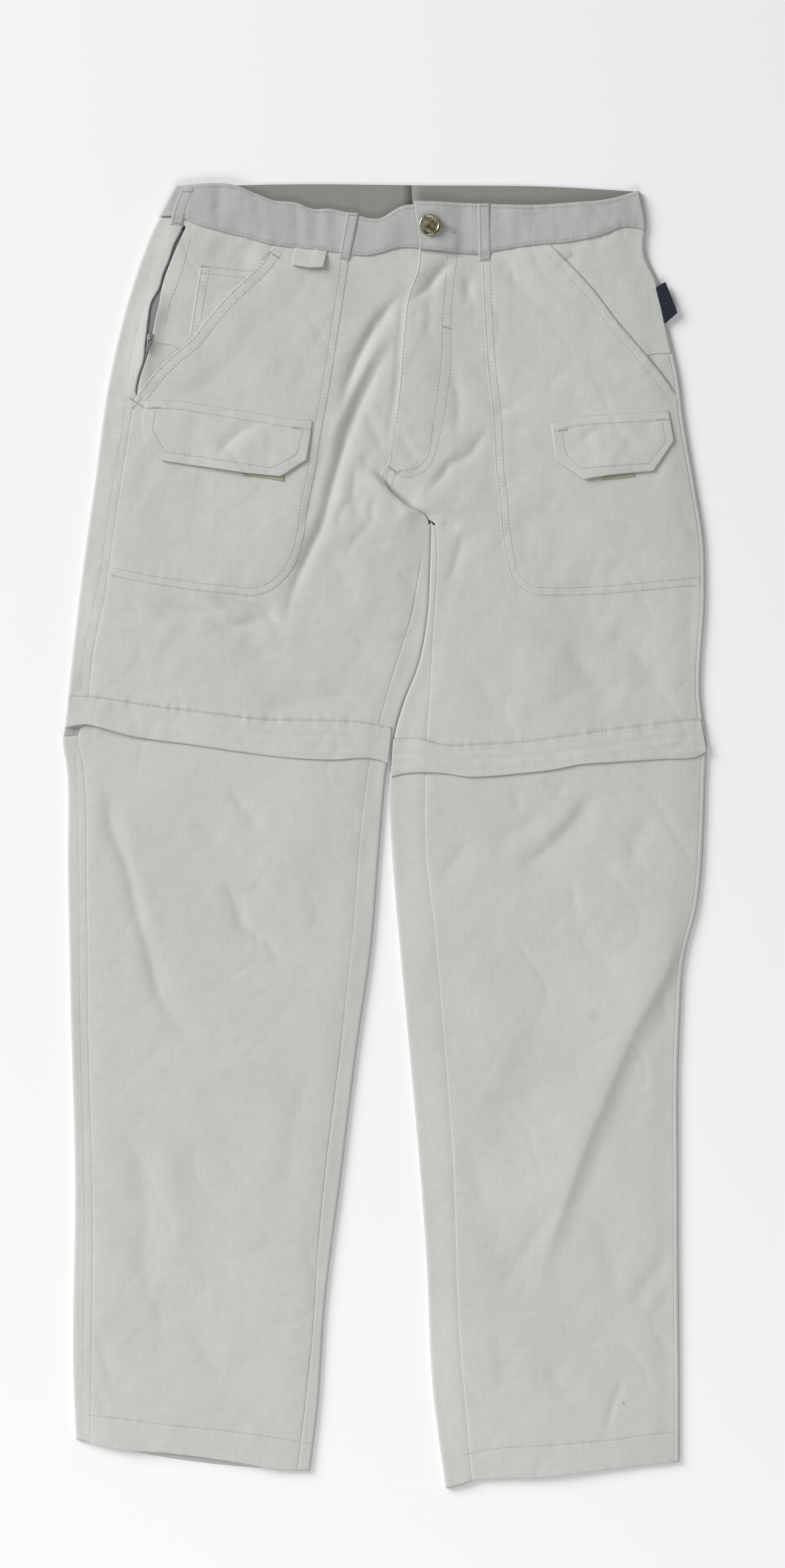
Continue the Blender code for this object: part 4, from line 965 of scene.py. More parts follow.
def facing_height(half):
    """A facing under the pocket's edge, drawn down into the waist seam."""
    def height(points):
        seam = 0.15 + 0.85 * smooth((at(half.waist, points[:, 0]) - points[:, 1] - 1) / 9)
        return ground(half, points) + LIFT * seam
    return height


FLAP_GAPE_X = {"left": -126, "right": 176}      # where a flap's free edge stands off most


def flap_height(half):
    """A flap lies close at its seam, and its free edge stands off the pocket."""
    top = track([tuple(p) for p in FLAP_LINES[half.name][0]])

    def height(points):
        down = at(top, points[:, 0]) - points[:, 1]
        curl = 0.35 * noise(points, (17, 14), 21) * smooth(down / 20)
        gape = np.exp(-((points[:, 0] - FLAP_GAPE_X[half.name]) / 24) ** 2)
        curl = curl + 1.5 * gape * smooth((down - 24) / 20)
        return ground(half, points) + LIFT + FLAP_RISE + 1.3 * smooth(down / 36) + curl
    return height


COVER_CURL_X = -176     # left of this the left cover's end curls up


def cover_height(half):
    """A knee zip's cover, over the zip's ridge, with its lower edge standing off."""
    def height(points):
        zip_away = np.abs(away(points, half.knee, 30.0)[0])
        low = np.abs(away(points, COVER_LOWS[half.name], 40.0)[0])
        top = np.abs(away(points, COVER_TOPS[half.name], 40.0)[0])
        curled = smooth((COVER_CURL_X - points[:, 0]) / 50)
        free = 0.8 * (1 - smooth(low / 12)) + 1.5 * curled * (1 - smooth(low / 16))
        ribs = 0.26 * np.cos(top * 2 * math.pi / 8.5) * smooth(top / 6)
        return ground(half, points) + COVER_RISE + 0.45 * np.exp(-(zip_away / 4.5) ** 2) + free + ribs
    return height


def band_height(half):
    rise = band_rise(half)
    return lambda p: ground(half, p) + rise(p)


def loop_height(half):
    """A belt loop over the waistband, down to the panel below it."""
    def height(points):
        x, y = points[:, 0], points[:, 1]
        over = smooth((y - at(half.waist, x) + 3) / 5)
        rise = 0.55 + 1.35 * over
        foot = np.maximum(0, 1 - np.abs(y - at(half.waist, x) + 1.5) / 5)
        return ground(half, points) + rise + 0.25 * foot + 0.12 * noise(points, (4, 6), 31)
    return height


def build_fronts():
    for half in (LEFT, RIGHT):
        top, knee = moved_up(half.waist, TUCK), moved_up(half.knee, -KNEE_ZIP / 2)
        outline = region(front_side(half), half.middle, top, knee, WAIST_Y, KNEE_Y)
        lines = STITCHED.get("front_" + half.name, []) + [STITCHED["cover_" + half.name][0]]
        panel("front_" + half.name, outline, front_height(half), CLOTH_LOOK, lines)
        knee = moved_up(half.knee, KNEE_ZIP / 2)
        outline = region(half.outseam, half.inseam, knee, half.hem, KNEE_Y, HEM_Y)
        look = CLOTH_LOOK if half is LEFT else MARKED_LOOK
        panel("lower_front_" + half.name, outline, raised(half, -LOWER_DROP), look,
              STITCHED["hem_" + half.name])


def build_pockets():
    for half in (LEFT, RIGHT):
        name, slant, edge = half.name, SLANT_LINES[half.name], PATCH_LINES[half.name]
        top = moved_up(half.waist, TUCK)
        start = edge_start(half, edge)
        seam = span_y(half.outseam, start[1], slant[-1][1])
        kept = edge[(edge[:, 0] - start[0]) * half.inward > 0]
        kept = np.vstack([start, kept[kept[:, 1] < at(top, kept[:, 0])]])
        head = span_x(top, kept[-1][0], slant[0][0])
        outline = [np.vstack([slant[-1:], seam[::-1][1:]]), np.vstack([seam[:1], kept]),
                   np.vstack([kept[-1:], head[1:]]), np.vstack([head[-1:], slant])]
        panel("patch_pocket_" + name, outline, patch_height(half), CLOTH_LOOK, STITCHED["patch_" + name])


def edge_start(half, edge):
    """Where a patch pocket's lower edge meets the outseam."""
    x = at(half.outseam, edge[:, 1])
    index = int(np.argmin(np.abs(edge[:40, 0] - x[:40])))
    return np.array([x[index], edge[index, 1]])


def columns(group, count, reverse=False):
    """Columns of a wrap: the group of each and its share of the way from the side to the middle."""
    shares = np.linspace(0, 1, count + 1)
    return [(group, share) for share in (shares[::-1] if reverse else shares)]


def arc_columns(group, reverse=False):
    """The columns round a fold, without its first and last."""
    return columns(group, ARC_STEPS, reverse)[1:-1]


ZIP_EDGE_LINE = track(ZIP_EDGE)
ZIP_OPEN_LINE = track(ZIP_OPEN)


def front_side(half):
    """A front panel's outer edge: the outseam, and on the left the far side of the zip's slit."""
    if half is RIGHT:
        return half.outseam
    y = half.outseam[:, 0]
    share = zipped(half, y)
    return np.column_stack([y, half.outseam[:, 1] * (1 - share) + at(ZIP_OPEN_LINE, y) * share])


def zipped(half, y):
    """1 beside the zip in the left side seam, else 0."""
    if half is RIGHT:
        return np.zeros_like(y)
    low, high = ZIP_ENDS
    return smooth((y - low) / ZIP_FADE) * (1 - smooth((y - high) / ZIP_FADE))


def across(half, group, share, y):
    """x of a column at these heights. Groups run from the side to the middle, and wraps start hidden."""
    outer_roll = at(half.outline, y) + half.inward * (CLOTH / 2 + ROLL)
    inner_roll = at(half.inner, y) - half.inward * (CLOTH / 2 + ROLL)
    seam = at(half.outseam, y)
    zip_share = zipped(half, y)
    hidden = WRAP_TUCK * (1 - zip_share) + (at(ZIP_EDGE_LINE, y) - seam) * zip_share
    if group == "band":
        return seam + (at(half.middle, y) - seam) * share
    if group == "outer_band":
        return outer_roll + (seam - outer_roll) * share
    if group == "outer_wrap":
        return outer_roll + (seam + half.inward * hidden - outer_roll) * share
    if group in ("inner_wrap", "inner_band"):
        start = at(half.inseam, y) - half.inward * (WRAP_TUCK if group == "inner_wrap" else 0.0)
        return start + (inner_roll - start) * share
    middle = np.where(y < CROTCH_Y, inner_roll, at(CENTRE, y))
    return outer_roll + (middle - outer_roll) * share


def meet(half, group, share, line):
    """y where a column crosses a line across the garment."""
    y = np.array([float(line[len(line) // 2, 1])])
    for _ in range(8):
        y = at(line, across(half, group, share, y))
    return y[0]


Wrap = namedtuple("Wrap", "half top bottom back_top back_bottom rise back_z thickness")


def column(wrap, group, share, downs):
    """Points of the middle of the cloth down one column."""
    half = wrap.half
    if group in ("outer_arc", "inner_arc"):
        outer = group == "outer_arc"
        end = ("outer_" if outer else "inner_") + ("band" if wrap.rise else "wrap")
        upper = column(wrap, end, 0.0 if outer else 1.0, downs)
        lower = column(wrap, "back", 0.0 if outer else 1.0, downs)
        points = upper + (lower - upper) * share
        reach = ROLL + CLOTH / 2 - wrap.back_z
        points[:, 0] += (-half.inward if outer else half.inward) * reach * math.sin(math.pi * share)
        points[:, 2] = lower[:, 2] + (upper[:, 2] - lower[:, 2]) * (1 + math.cos(math.pi * share)) / 2
        return points
    back = group == "back"
    top, bottom = (wrap.back_top, wrap.back_bottom) if back else (wrap.top, wrap.bottom)
    y0, y1 = meet(half, group, share, top), meet(half, group, share, bottom)
    y = y0 + (y1 - y0) * downs
    flat = np.stack([across(half, group, share, y), y], axis=1)
    if back:
        z = np.full(len(y), wrap.back_z) + 0.12 * (1 + noise(flat, (16, 23), 8)) * smooth(share * 8)
        return np.column_stack([flat, z])
    z = ground(half, flat)
    if wrap.rise:
        z = z + wrap.rise(flat)
    elif group == "outer_wrap":
        under = (flat[:, 0] - at(half.outseam, y)) * half.inward
        dip = WRAP_DIP * smooth((under + 0.5) / 1.1)
        z = z - dip * (1 - zipped(half, y)) + 0.5 * zipped(half, y) * smooth((under + 12) / 8)
    else:
        under = (at(half.inseam, y) - flat[:, 0]) * half.inward
        z = z - WRAP_DIP * smooth((under + 0.5) / 1.1)
    return np.column_stack([flat, z])


def wrapped(node, wrap, groups, finish, rows, closed=False, forked=True):
    """A piece that runs round the side of a leg or of the waist, as rows of points down its columns.

    A closed one is a ring. One that isn't forked has its inner side only below the crotch.
    """
    downs = np.linspace(0, 1, rows + 1)
    lines = [column(wrap, group, share, downs) for group, share in groups]
    inner = [group in ("inner_arc", "inner_wrap") for group, _ in groups]
    fork = 0 if forked else int(np.searchsorted(-column(wrap, "back", 1.0, downs)[:, 1], -CROTCH_Y))
    pairs = [(i, i + 1) for i in range(len(groups) - 1)] + ([(len(groups) - 1, 0)] if closed else [])
    faces, count = [], rows + 1
    for i, j in pairs:
        first = fork if inner[i] or inner[j] else 0
        faces += [(i * count + k, i * count + k + 1, j * count + k + 1, j * count + k)
                  for k in range(first, rows)]
    faces = np.array(faces)
    used = np.isin(np.arange(len(groups) * count), faces)
    verts = np.vstack(lines)[used]
    made = add_mesh(node + "_cloth", verts, (np.cumsum(used) - 1)[faces], finish)
    flip_outward(made)
    thicken(made, wrap.thickness, 0.0)
    area = sum(polygon.area for polygon in made.data.polygons) / METRE ** 2
    gaps = np.linalg.norm(np.diff(np.stack(lines), axis=0), axis=2)
    width = gaps.sum(0).max()
    length = verts[:, 1].max() - verts[:, 1].min()
    length = max(length, area / width) if length > 60 else area / width * 1.02
    declare(made, node, (width, length), area)
    return made


def flip_outward(made):
    """Makes the faces on the floor look down."""
    bm = bmesh.new()
    bm.from_mesh(made.data)
    bm.normal_update()
    low = min(bm.faces, key=lambda face: face.calc_center_median().z)
    if low.normal.z > 0:
        bmesh.ops.reverse_faces(bm, faces=bm.faces)
    bm.to_mesh(made.data)
    bm.free()


def paint_inside_shade(band):
    """The inside of the waistband's back shows above the front, in a darker cloth that is painted shade."""
    band.data.materials.append(INSIDE_SHADE_LOOK)
    for polygon in band.data.polygons:
        # The band's low faces, its back layer, take the painted shade.
        if polygon.center.z < (ROLL + CLOTH) * METRE:
            polygon.material_index = 1


def build_waistband(half):
    wrap = Wrap(half, half.band_top, half.waist, BACK_TOP, half.back_waist, band_rise(half),
                DOUBLE / 2 + 0.1, DOUBLE)
    groups = columns("band", 130, True) + columns("outer_band", 6, True)[1:] + arc_columns("outer_arc")
    groups += columns("back", 24)
    paint_inside_shade(wrapped("waistband_" + half.name, wrap, groups, SHADED_BAND_LOOK, 22))


def build_backs(half):
    """The upper and the lower back, round both sides of the leg."""
    groups = columns("outer_wrap", 12, True) + arc_columns("outer_arc") + columns("back", 12)
    groups += arc_columns("inner_arc", True) + columns("inner_wrap", 9, True)
    below, above = moved_up(half.knee, -KNEE_ZIP / 2), moved_up(half.knee, KNEE_ZIP / 2)
    upper = Wrap(half, half.waist, above, half.back_waist, above, None, THIN / 2, THIN)
    wrapped("back_" + half.name, upper, groups, CLOTH_LOOK, 170, forked=False)
    lower = Wrap(half, below, half.hem, below, half.back_hem, None, THIN / 2, THIN)
    wrapped("lower_back_" + half.name, lower, groups, CLOTH_LOOK, 230)


def build_knee_zip(half):
    """The tape of a leg's zip, as a ring inside the cloth."""
    top, low = moved_up(half.knee, ZIP_TAPE / 2), moved_up(half.knee, -ZIP_TAPE / 2)
    wrap = Wrap(half, top, low, top, low, lambda points: -0.6, THIN / 2 + 0.45, TAPE)
    groups = columns("band", 60) + columns("inner_band", 4)[1:] + arc_columns("inner_arc")
    groups += columns("back", 12, True) + arc_columns("outer_arc", True) + columns("outer_band", 8)[:-1]
    wrapped("knee_zip_" + half.name, wrap, groups, TAPE_LOOK, 4, closed=True)


def strip_outline(one, other):
    """The outline between two lines that run the same way."""
    return [one, curve([one[-1], other[-1]]), other[::-1], curve([other[0], one[0]])]


def build_facing(half):
    """The facing behind a hand pocket, from the slanted edge to the side."""
    slant = beside(SLANT_LINES[half.name], 8.0 * half.inward)
    top = moved_up(half.waist, TUCK)
    if half is LEFT:
        side, foot = curve(FACING_SIDE_LEFT), curve(FACING_FOOT_LEFT)
    else:
        side = span_y(half.outseam, 397, 512) + np.array([2.0, 0.0])
        foot = curve(FACING_FOOT_RIGHT + [tuple(side[0])])
    side = side[side[:, 1] < at(top, side[:, 0])]
    slant = slant[(slant[:, 1] < at(top, slant[:, 0])) & (slant[:, 1] > foot[0][1])]
    head = span_x(top, side[-1][0], slant[0][0])
    outline = [np.vstack([foot[-1:], side]), np.vstack([side[-1:], head]), np.vstack([head[-1:], slant]),
               np.vstack([slant[-1:], foot])]
    panel("hip_facing_" + half.name, outline, facing_height(half), CLOTH_LOOK,
          STITCHED.get("facing_" + half.name, []))


def build_flap(half):
    """A flap, and the hook tape that peeps out below it."""
    panel("pocket_flap_" + half.name, FLAP_LINES[half.name], flap_height(half), CLOTH_LOOK,
          STITCHED["flap_" + half.name], spacing=2.2, thickness=FLAP)
    hook = [curve(part) for part in (HOOK_LEFT if half is LEFT else HOOK_RIGHT)]
    panel("hook_tape_" + half.name, hook, raised(half, LIFT + FLAP_RISE), HOOK_LOOK, spacing=2.0)


def build_knee_cover(half):
    low, high = COVER_LOWS[half.name], COVER_TOPS[half.name]
    outline = [high, curve([high[-1], low[0]]), low, curve([low[-1], high[0]])]
    panel("knee_cover_" + half.name, outline, cover_height(half), CLOTH_LOOK, [beside(high, -1.0)],
          thickness=STRIP)


def build_coin_pocket():
    """A small pocket on the left facing, from its side to under the slanted edge."""
    side, slant = curve(COIN_SIDE), beside(SLANT_LINES["left"], 5.0)
    slant = slant[(slant[:, 1] < 464) & (slant[:, 1] > 408)]
    outline = [side, curve([side[-1], slant[0]]), slant, curve([slant[-1], side[0]])]
    panel("coin_pocket", outline, raised(LEFT, LIFT + COIN_RISE), CLOTH_LOOK, STITCHED["coin"], spacing=2.2)


def build_belt_loops():
    for name, half, one, other in LOOPS:
        one, other = curve(one, 1.5), curve(other, 1.5)
        panel(name, strip_outline(one, other), loop_height(half), SHADED_BAND_LOOK,
              [beside(one, LOOP_HEM), beside(other, -LOOP_HEM)], spacing=1.3, thickness=STRIP)


def tab_height(points):
    """The hanging tab comes out under the waistband and stands off the front."""
    down = np.clip((at(LEFT.waist, -60) - points[:, 1]) / 15, 0, 1)
    bend = 0.5 * np.exp(-((down - 0.55) / 0.16) ** 2)
    return ground(LEFT, points) + 0.7 + 3.6 * smooth(down) + bend


def build_tab():
    panel("hanging_tab", [cornered(TAB_OUTLINE)], tab_height, CLOTH_LOOK, [curve(TAB_STITCH)], spacing=1.3,
          thickness=1.2)


def build_label():
    low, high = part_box("label_tab")
    middle = (low[2] + high[2]) / 2 / METRE
    panel("label_tab", [cornered(LABEL_OUTLINE)], lambda p: middle + LABEL_LUMP * noise(p, (9, 9), 41),
          LABEL_LOOK, spacing=1.3, thickness=0.6)


def build_side_tape():
    one, other = cornered(SIDE_TAPE[0]), cornered(SIDE_TAPE[1])
    outline = [one, curve([one[-1], other[0]]), other, curve([other[-1], one[0]])]
    # The tape's colour holds painted shade of the slit.
    panel("side_zip_tape", outline, raised(LEFT, -0.9), SHADED_TAPE_LOOK, spacing=2.0,
          thickness=TAPE)


STITCH_RADIUS = 0.17
TACK_RADIUS = 0.2


def capsules(name, centres, ways, lengths, radius, finish, body="garment", dip=0.14, sides=5):
    """Many short rounded rods in one mesh: a stitch, a tooth or a strand each.

    Each has four rings, and each ring a place along the rod, a share of its radius and a share of the dip.
    """
    centres, ways = np.asarray(centres, float), np.asarray(ways, float)
    count = len(centres)
    lengths = np.broadcast_to(np.asarray(lengths, float), (count,))
    across_way = np.cross(ways, (0, 0, 1.0))
    across_way /= np.linalg.norm(across_way, axis=1)[:, None]
    up = np.cross(across_way, ways)
    rings = []
    for share, size, sink in ((-0.5, 0.45, 1.0), (-0.3, 1.0, 0.3), (0.3, 1.0, 0.3), (0.5, 0.45, 1.0)):
        middle = centres + ways * (share * lengths)[:, None] - up * dip * sink
        for k in range(sides):
            angle = 2 * math.pi * k / sides
            rings.append(middle + (across_way * math.cos(angle) + up * math.sin(angle)) * radius * size)
    verts = np.stack(rings, axis=1).reshape(-1, 3)
    pattern = [face[::-1] for face in ring_faces(4, sides) + end_faces(4, sides)]
    faces = [tuple(v + i * 4 * sides for v in face) for i in range(count) for face in pattern]
    made = add_mesh(name, verts, faces, finish)
    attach(made, body)


def on_cloth(half, line, margin=1.5):
    """The part of a line inside a side's outseam."""
    return line[(line[:, 0] - at(half.outseam, line[:, 1])) * half.inward > margin]


def lay_stitches(line, height, top, pitch, length):
    """Centres and directions of the stitches along a line over a surface."""
    points, ahead, _ = walk(line, pitch)
    points, ahead = (points[:-1] + points[1:]) / 2, (ahead[:-1] + ahead[1:]) / 2
    low = height(points - ahead * length / 2)
    high = height(points + ahead * length / 2)
    ways = np.column_stack([ahead * length, high - low])
    ways /= np.linalg.norm(ways, axis=1)[:, None]
    return np.column_stack([points, (low + high) / 2 + top]), ways


def sew(name, lines, height, thickness=THIN, pitch=3.1, length=2.3):
    """Stitches along lines of a piece, in one mesh."""
    laid = [lay_stitches(line, height, thickness + 0.03, pitch, length) for line in lines]
    centres, ways = (np.vstack(part) for part in zip(*laid))
    capsules(name, centres, ways, length, STITCH_RADIUS, THREAD_LOOK)


BAND_ENDS = {"left": (-162.0, 28.0), "right": (26.0, 206.0)}    # x of the ends of its visible front


def build_stitches():
    for half in (LEFT, RIGHT):
        name = half.name
        sew("stitches_patch_" + name, [on_cloth(half, line) for line in STITCHED["patch_" + name]],
            patch_height(half))
        sew("stitches_flap_" + name, STITCHED["flap_" + name], flap_height(half), FLAP)
        sew("stitches_knee_" + name, [beside(COVER_TOPS[name], -0.6)], cover_height(half), STRIP)
        sew("stitches_hem_" + name, STITCHED["hem_" + name], raised(half, -LOWER_DROP))
        top, low = span_x(half.band_top, *BAND_ENDS[name]), span_x(half.waist, *BAND_ENDS[name])
        sew("stitches_waist_" + name, [moved_up(top, -2.6), moved_up(low, 2.6)], band_height(half),
            0.6 + DOUBLE / 2)
    sew("stitches_fly", STITCHED["front_right"] + [beside(lengthwise(FLY[1:7]), 1.6)], front_height(RIGHT))
    sew("stitches_facing", STITCHED["facing_left"], facing_height(LEFT))
    sew("stitches_coin", STITCHED["coin"], raised(LEFT, LIFT + COIN_RISE))
    sides = STITCHED["wrap_upper"] + STITCHED["wrap_lower"] + STITCHED["back_left"]
    sew("stitches_outseam", sides, raised(LEFT, 0.0), 0.4)
    for name, half, one, other in LOOPS:
        sew("stitches_" + name, [beside(curve(one, 1.5), LOOP_HEM), beside(curve(other, 1.5), -LOOP_HEM)],
            loop_height(half), STRIP, 2.6, 1.9)


# Bar tacks: the surface that each is on, its two ends and how wide it is
TACKS = [
    ("fly", (47, 419), (54, 417), 1.3),
    ("fly", (3, 303.5), (9.5, 299), 1.6),
    ("fly", (8, 297), (13, 301), 1.4),
    ("patch_left", (-100, 473.5), (-94, 480), 1.4),
    ("patch_left", (-92, 478), (-86, 474), 1.4),
    ("patch_right", (146, 474), (152, 479), 1.4),
    ("patch_left", (-209, 360), (-197, 352), 1.3),
    ("patch_left", (-207, 351), (-199, 361), 1.3),
    ("coin", (-151, 468), (-145, 467.4), 1.3),
    ("flap_left", (-76, 336), (-70, 335), 1.4),
    ("flap_left", (-192, 352), (-184, 352), 1.4),
    ("flap_right", (142, 333), (149, 334), 1.4),
    ("flap_right", (222, 342), (229, 342.5), 1.4),
]
TACK_PITCH = 0.55
BUTTONHOLE = ((46.0, 501.0), (56.0, 497.0))
BUTTONHOLE_HALF = 1.3


def turned_left(way):
    return np.array([-way[1], way[0]])


def unit(way):
    return way / np.linalg.norm(way)


def bar_tack(start, end, width, height, top):
    """Close stitches across the line between two points."""
    start, end = np.array(start, float), np.array(end, float)
    length = np.linalg.norm(end - start)
    count = int(length / TACK_PITCH)
    ahead = (end - start) / length
    aside = turned_left(ahead)
    spots = start + ahead * np.linspace(0, length, count)[:, None]
    low, high = height(spots - aside * width / 2), height(spots + aside * width / 2)
    ways = np.column_stack([np.tile(aside * width, (count, 1)), high - low])
    ways /= np.linalg.norm(ways, axis=1)[:, None]
    return np.column_stack([spots, (low + high) / 2 + top]), ways, np.full(count, width)


def loop_tacks():
    """A bar tack across each end of each belt loop."""
    tacks = []
    for name, half, one, other in LOOPS:
        for end, following in ((0, 1), (-1, -2)):
            a, b = np.array(one[end], float), np.array(other[end], float)
            inset = unit(np.array(one[following]) - a) * 2
            margin = (b - a) * 0.15
            tacks.append(bar_tack(a + inset + margin, b + inset - margin, 1.2, loop_height(half), STRIP))
    return tacks


def buttonhole():
    """Close stitches along both sides of the slit, and a wider row across its end."""
    slit, slit_end = np.array(BUTTONHOLE)
    ahead = unit(slit_end - slit)
    aside = turned_left(ahead) * BUTTONHOLE_HALF
    band = band_height(RIGHT)
    return [bar_tack(slit + aside, slit_end + aside, 1.3, band, DOUBLE),
            bar_tack(slit - aside, slit_end - aside, 1.3, band, DOUBLE),
            bar_tack(slit_end + aside * 1.5 + ahead, slit_end - aside * 1.5 + ahead, 1.5, band, DOUBLE)]


def build_tacks():
    """Bar tacks where pockets, loops and seams end, and the buttonhole."""
    surfaces = {"fly": (front_height(RIGHT), THIN), "coin": (raised(LEFT, LIFT + COIN_RISE), THIN)}
    for half in (LEFT, RIGHT):
        surfaces["patch_" + half.name] = (patch_height(half), THIN)
        surfaces["flap_" + half.name] = (flap_height(half), FLAP)
    laid = [bar_tack(start, end, width, *surfaces[surface]) for surface, start, end, width in TACKS]
    centres, ways, lengths = (np.concatenate(part) for part in zip(*laid, *loop_tacks(), *buttonhole()))
    capsules("bar_tacks", centres, ways, lengths, TACK_RADIUS, THREAD_LOOK)


def build_teeth():
    """Teeth along both sides of the side pocket's open zip, and the closed chain below its slider."""
    open_rows = [span_y(line, 413, 494, 1.35) + [aside, 0]
                 for line, aside in ((ZIP_EDGE_LINE, 0.6), (ZIP_OPEN_LINE, -0.6))]
    chain = (span_y(ZIP_EDGE_LINE, 364, 406.5, 0.7) + span_y(ZIP_OPEN_LINE, 364, 406.5, 0.7)) / 2
    rows = np.vstack(open_rows + [chain])
    centres = np.column_stack([rows, ground(LEFT, rows) - 0.2])
    ways = np.tile([0.98, 0.2, 0.0], (len(rows), 1))
    capsules("side_zip_teeth", centres, ways, 1.7, 0.36, METAL_LOOK, dip=0.0)


def turned(name, centre, profile, steps, finish, slot):
    """A round piece from (radius, height) points."""
    radii, heights = np.array(profile).T
    angles = np.linspace(0, 2 * math.pi, steps, endpoint=False)
    rings = [np.column_stack([r * np.cos(angles), r * np.sin(angles), np.full(steps, z)])
             for r, z in zip(radii, heights)]
    faces = ring_faces(len(profile), steps) + end_faces(len(profile), steps)
    made = add_mesh(name, np.vstack(rings) + centre, faces, finish)
    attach(made, "garment")
    return made


# From the shank up over the rim to the middle: (share of the radius, share of the height)
BUTTON_SHAPE = [(0.3, -0.45), (0.34, -0.02), (0.7, 0.0), (0.86, 0.1), (0.96, 0.34), (1.0, 0.62),
                (0.985, 0.82), (0.94, 0.95), (0.88, 1.0), (0.83, 0.97), (0.79, 0.84), (0.75, 0.74),
                (0.7, 0.7), (0.6, 0.72), (0.46, 0.78), (0.3, 0.83), (0.14, 0.85), (0.02, 0.86)]
BUTTON_RAYS = 22


def build_button():
    """The turned button, with plain notches round its dish."""
    low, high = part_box("waist_button")
    x, y = (low[0] + high[0]) / 2 / METRE, (low[1] + high[1]) / 2 / METRE
    radius, base = (high[0] - low[0]) / 2 / METRE, low[2] / METRE
    tall = (high[2] - low[2]) / METRE
    profile = [(r * radius, z * tall) for r, z in BUTTON_SHAPE]
    button = turned("waist_button_metal", (x, y, base), profile, 64, BRASS_LOOK, "button_metal")
    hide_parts("waist_button")
    spots = np.linspace(0, 2 * math.pi, BUTTON_RAYS, endpoint=False)
    ways = np.column_stack([np.cos(spots), np.sin(spots), np.zeros(BUTTON_RAYS)])
    centres = ways * radius * 0.645 + (x, y, base + 0.74 * tall)
    capsules("waist_button_rays", centres, ways, 1.5, 0.2, PALE_BRASS_LOOK, dip=0.0)


def plate(name, outline, holes, bottom, top, body, rounding):
    """A flat metal piece with rounded edges, in the slider's place."""
    rings = [np.array(outline, float)] + [np.array(hole, float) for hole in holes]
    points = [Vector(p) for p in np.vstack(rings)]
    edges, start = [], 0
    for ring in rings:
        edges += [(start + i, start + (i + 1) % len(ring)) for i in range(len(ring))]
        start += len(ring)
    flat, _, faces = delaunay_2d_cdt(points, edges, [], 1, 0.001)[:3]
    flat = np.array(flat)
    for hole in rings[1:]:
        faces = [face for face, out in zip(faces, inside(flat[np.array(faces)].mean(1), hole)) if not out]
    count = len(flat)
    verts = [SLIDER_PLACE @ Vector((x, y, z)) for z in (bottom, top) for x, y in flat]
    lids = [face[::-1] for face in faces] + [tuple(v + count for v in face) for face in faces]
    walls = [(b, a, a + count, b + count) for a, b in edges]
    made = add_mesh(name, np.array(verts), lids + walls, METAL_LOOK)
    bm = bmesh.new()
    bm.from_mesh(made.data)
    bmesh.ops.recalc_face_normals(bm, faces=bm.faces)
    bm.to_mesh(made.data)
    bm.free()
    bevel = made.modifiers.new("edge", "BEVEL")
    bevel.width = rounding * METRE
    bevel.segments = 2
    bevel.angle_limit = math.radians(40)
    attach(made, body)
    return made


def arc(centre, radius, start, end, steps=10):
    """Points of an arc between two angles in degrees."""
    angles = np.radians(np.linspace(start, end, steps))
    return [(centre[0] + radius * math.cos(a), centre[1] + radius * math.sin(a)) for a in angles]


def build_slider():
    """Two plates on a core."""
    half, long, tall = SLIDER_SIZE
    ahead = [(half * 0.72, -long * 0.6), (half, long * 0.45), (half * 0.86, long * 0.9), (half * 0.4, long)]
    outline = [(-half * 0.62, -long), (half * 0.62, -long)] + ahead + [(0, long * 0.82)]
    outline += [(-x, y) for x, y in ahead[::-1]]
    top = -AXIS_RISE
    upper = plate("zip_slider_top", outline, [], top - SLIDER_PLATE, top, "garment", 0.14)
    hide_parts("zip_slider")
    plate("zip_slider_base", outline, [], top - tall, top - tall + SLIDER_PLATE, "garment", 0.14)
    core = [(x * 0.55, y * 0.8) for x, y in outline]
    plate("zip_slider_core", core, [], top - tall + 0.5, top - 0.5, "garment", 0.02)


def build_bail():
    """The wire arch over the pull's rod, along the slider."""
    foot = -AXIS_RISE - 0.3
    turns = np.linspace(0, math.pi, 13)
    outs = [(-1.0, 0.0)] + [(-math.cos(t), math.sin(t)) for t in turns] + [(1.0, 0.0)]
    path = [(y * BAIL_R, z * BAIL_R) for y, z in outs]
    path[0], path[-1] = (-BAIL_R, foot), (BAIL_R, foot)
    sides = 10
    verts = []
    for (y, z), (out_y, out_z) in zip(path, outs):
        for k in range(sides):
            angle = 2 * math.pi * k / sides
            out, side = BAIL_WIRE * math.cos(angle), 1.25 * BAIL_WIRE * math.sin(angle)
            verts.append(SLIDER_PLACE @ Vector((side, y + out * out_y, z + out * out_z)))
    faces = ring_faces(len(path), sides) + end_faces(len(path), sides)
    bail = add_mesh("zip_slider_arch", np.array(verts), faces, METAL_LOOK)
    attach(bail, "garment")


def build_pull():
    """The pull, with an eye round its rod and a small hole near its round end."""
    wide, far, thick = PULL_SIZE
    eye_x, eye_y = PULL_EYE
    side = [(wide * 0.66, -5.0), (wide, -3.0), (wide, 0.0)]
    outline = [(-x, y) for x, y in side[::-1]] + arc((0, -far + wide * 0.72), wide * 0.72, 180, 360) + side
    eye = [(-eye_x, -0.3), (-eye_x, -eye_y), (eye_x, -eye_y), (eye_x, -0.3)]
    hole = arc((0, -far + wide * 0.9), 0.55, 0, 330)
    pull = plate("zip_pull_plate", outline[::-1], [eye, hole], -thick / 2, thick / 2, "pull", 0.12)
    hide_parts("zip_pull")
    way = SLIDER_PLACE.to_3x3() @ Vector((1, 0, 0))
    capsules("zip_pull_rod", [PULL_AXIS], [way], 2 * wide - 0.3, 0.38, METAL_LOOK, "pull",
             dip=0.0, sides=12)


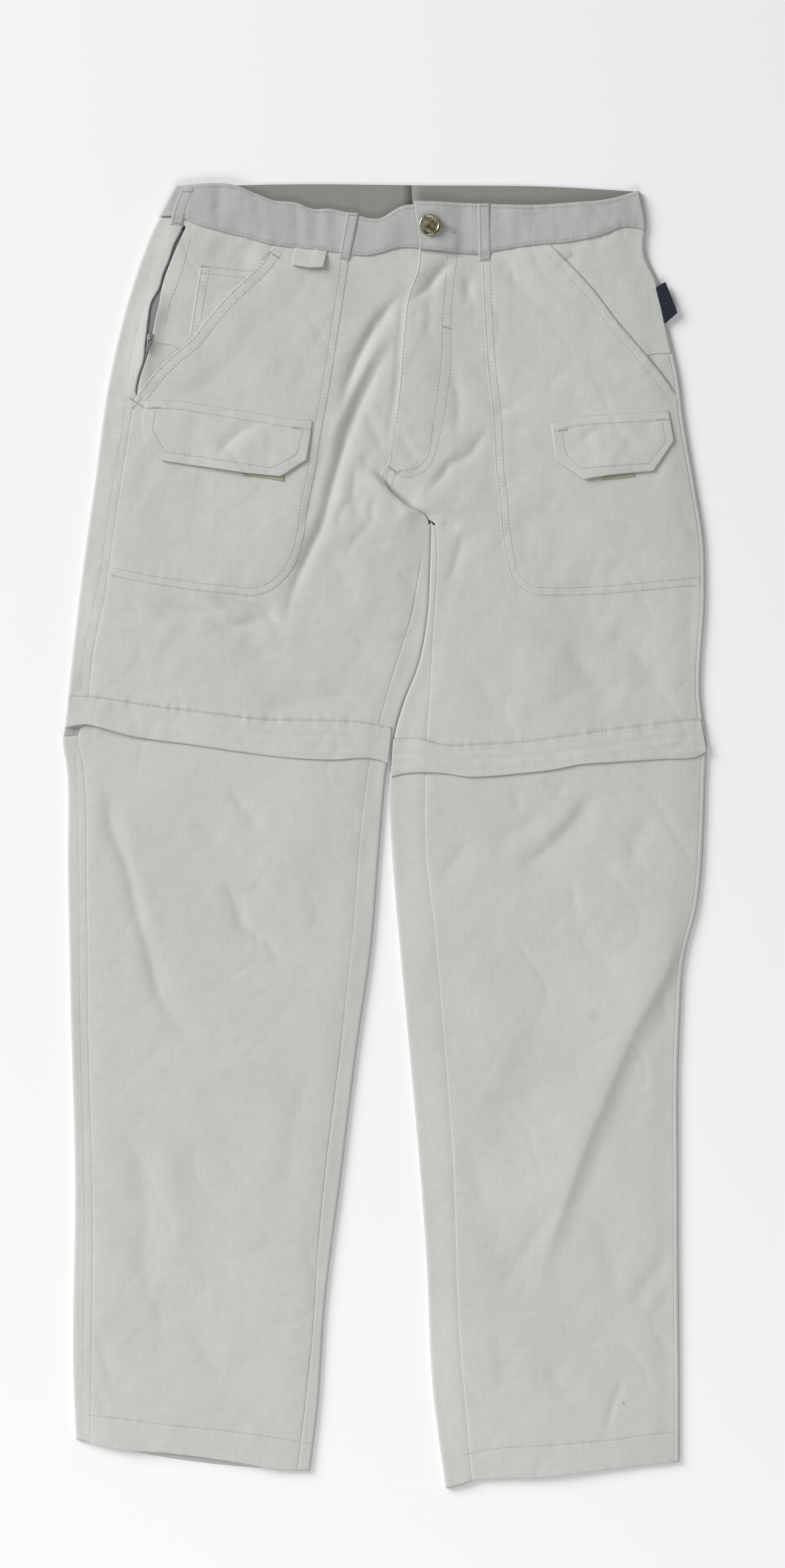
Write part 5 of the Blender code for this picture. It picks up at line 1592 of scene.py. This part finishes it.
build_fronts()
build_pockets()
for half in (LEFT, RIGHT):
    build_waistband(half)
    build_backs(half)
    build_knee_zip(half)
for half in (LEFT, RIGHT):
    build_facing(half)
    build_flap(half)
    build_knee_cover(half)
build_coin_pocket()
build_belt_loops()
build_tab()
build_label()
build_side_tape()
build_stitches()
build_tacks()
build_teeth()
build_button()
build_slider()
build_bail()
build_pull()


# In metres: the floor, just below the garment, and the camera
FLOOR_SIZE = 6.0
FLOOR_Z = -0.00002
EYE = (0.00645, 0.0437, 2.6)
FRAME_HEIGHT = 1.288
SENSOR = 36.0           # in millimetres, along the frame's longer side


def add_stage():
    bpy.ops.mesh.primitive_plane_add(size=FLOOR_SIZE, location=(0, 0, FLOOR_Z))
    floor = bpy.context.object
    floor.name = "floor"
    floor.data.materials.append(new_material("floor", colour(248, 248, 250), 0.9)[0])


def add_light(name, place, size, power, target):
    """A round area light that looks at a point."""
    light = bpy.data.lights.new(name, "AREA")
    light.shape = "DISK"
    light.size = size
    light.energy = power
    lamp = bpy.data.objects.new(name, light)
    lamp.location = place
    lamp.rotation_euler = (Vector(target) - Vector(place)).to_track_quat("-Z", "Y").to_euler()
    bpy.context.scene.collection.objects.link(lamp)


def add_lights():
    """Soft light from the upper left, a pale room and a little light from below the hems."""
    world = bpy.data.worlds.new("studio")
    world.use_nodes = True
    background = world.node_tree.nodes["Background"]
    background.inputs["Color"].default_value = (1.0, 1.0, 1.0, 1.0)
    background.inputs["Strength"].default_value = 0.315
    bpy.context.scene.world = world
    add_light("key", (-5.2, 3.3, 3.6), 4.4, 463, (0.0, -0.05, 0))
    add_light("low_fill", (-0.1, -2.0, 2.0), 1.6, 25, (0, -0.3, 0))
    bpy.context.scene.view_settings.view_transform = "Standard"


def add_camera():
    """Straight above, as in the photograph."""
    camera = bpy.data.cameras.new("camera")
    camera.sensor_width = SENSOR
    camera.lens = SENSOR * EYE[2] / FRAME_HEIGHT
    eye = bpy.data.objects.new("camera", camera)
    eye.location = EYE
    bpy.context.scene.collection.objects.link(eye)
    bpy.context.scene.camera = eye


add_stage()
add_lights()
add_camera()
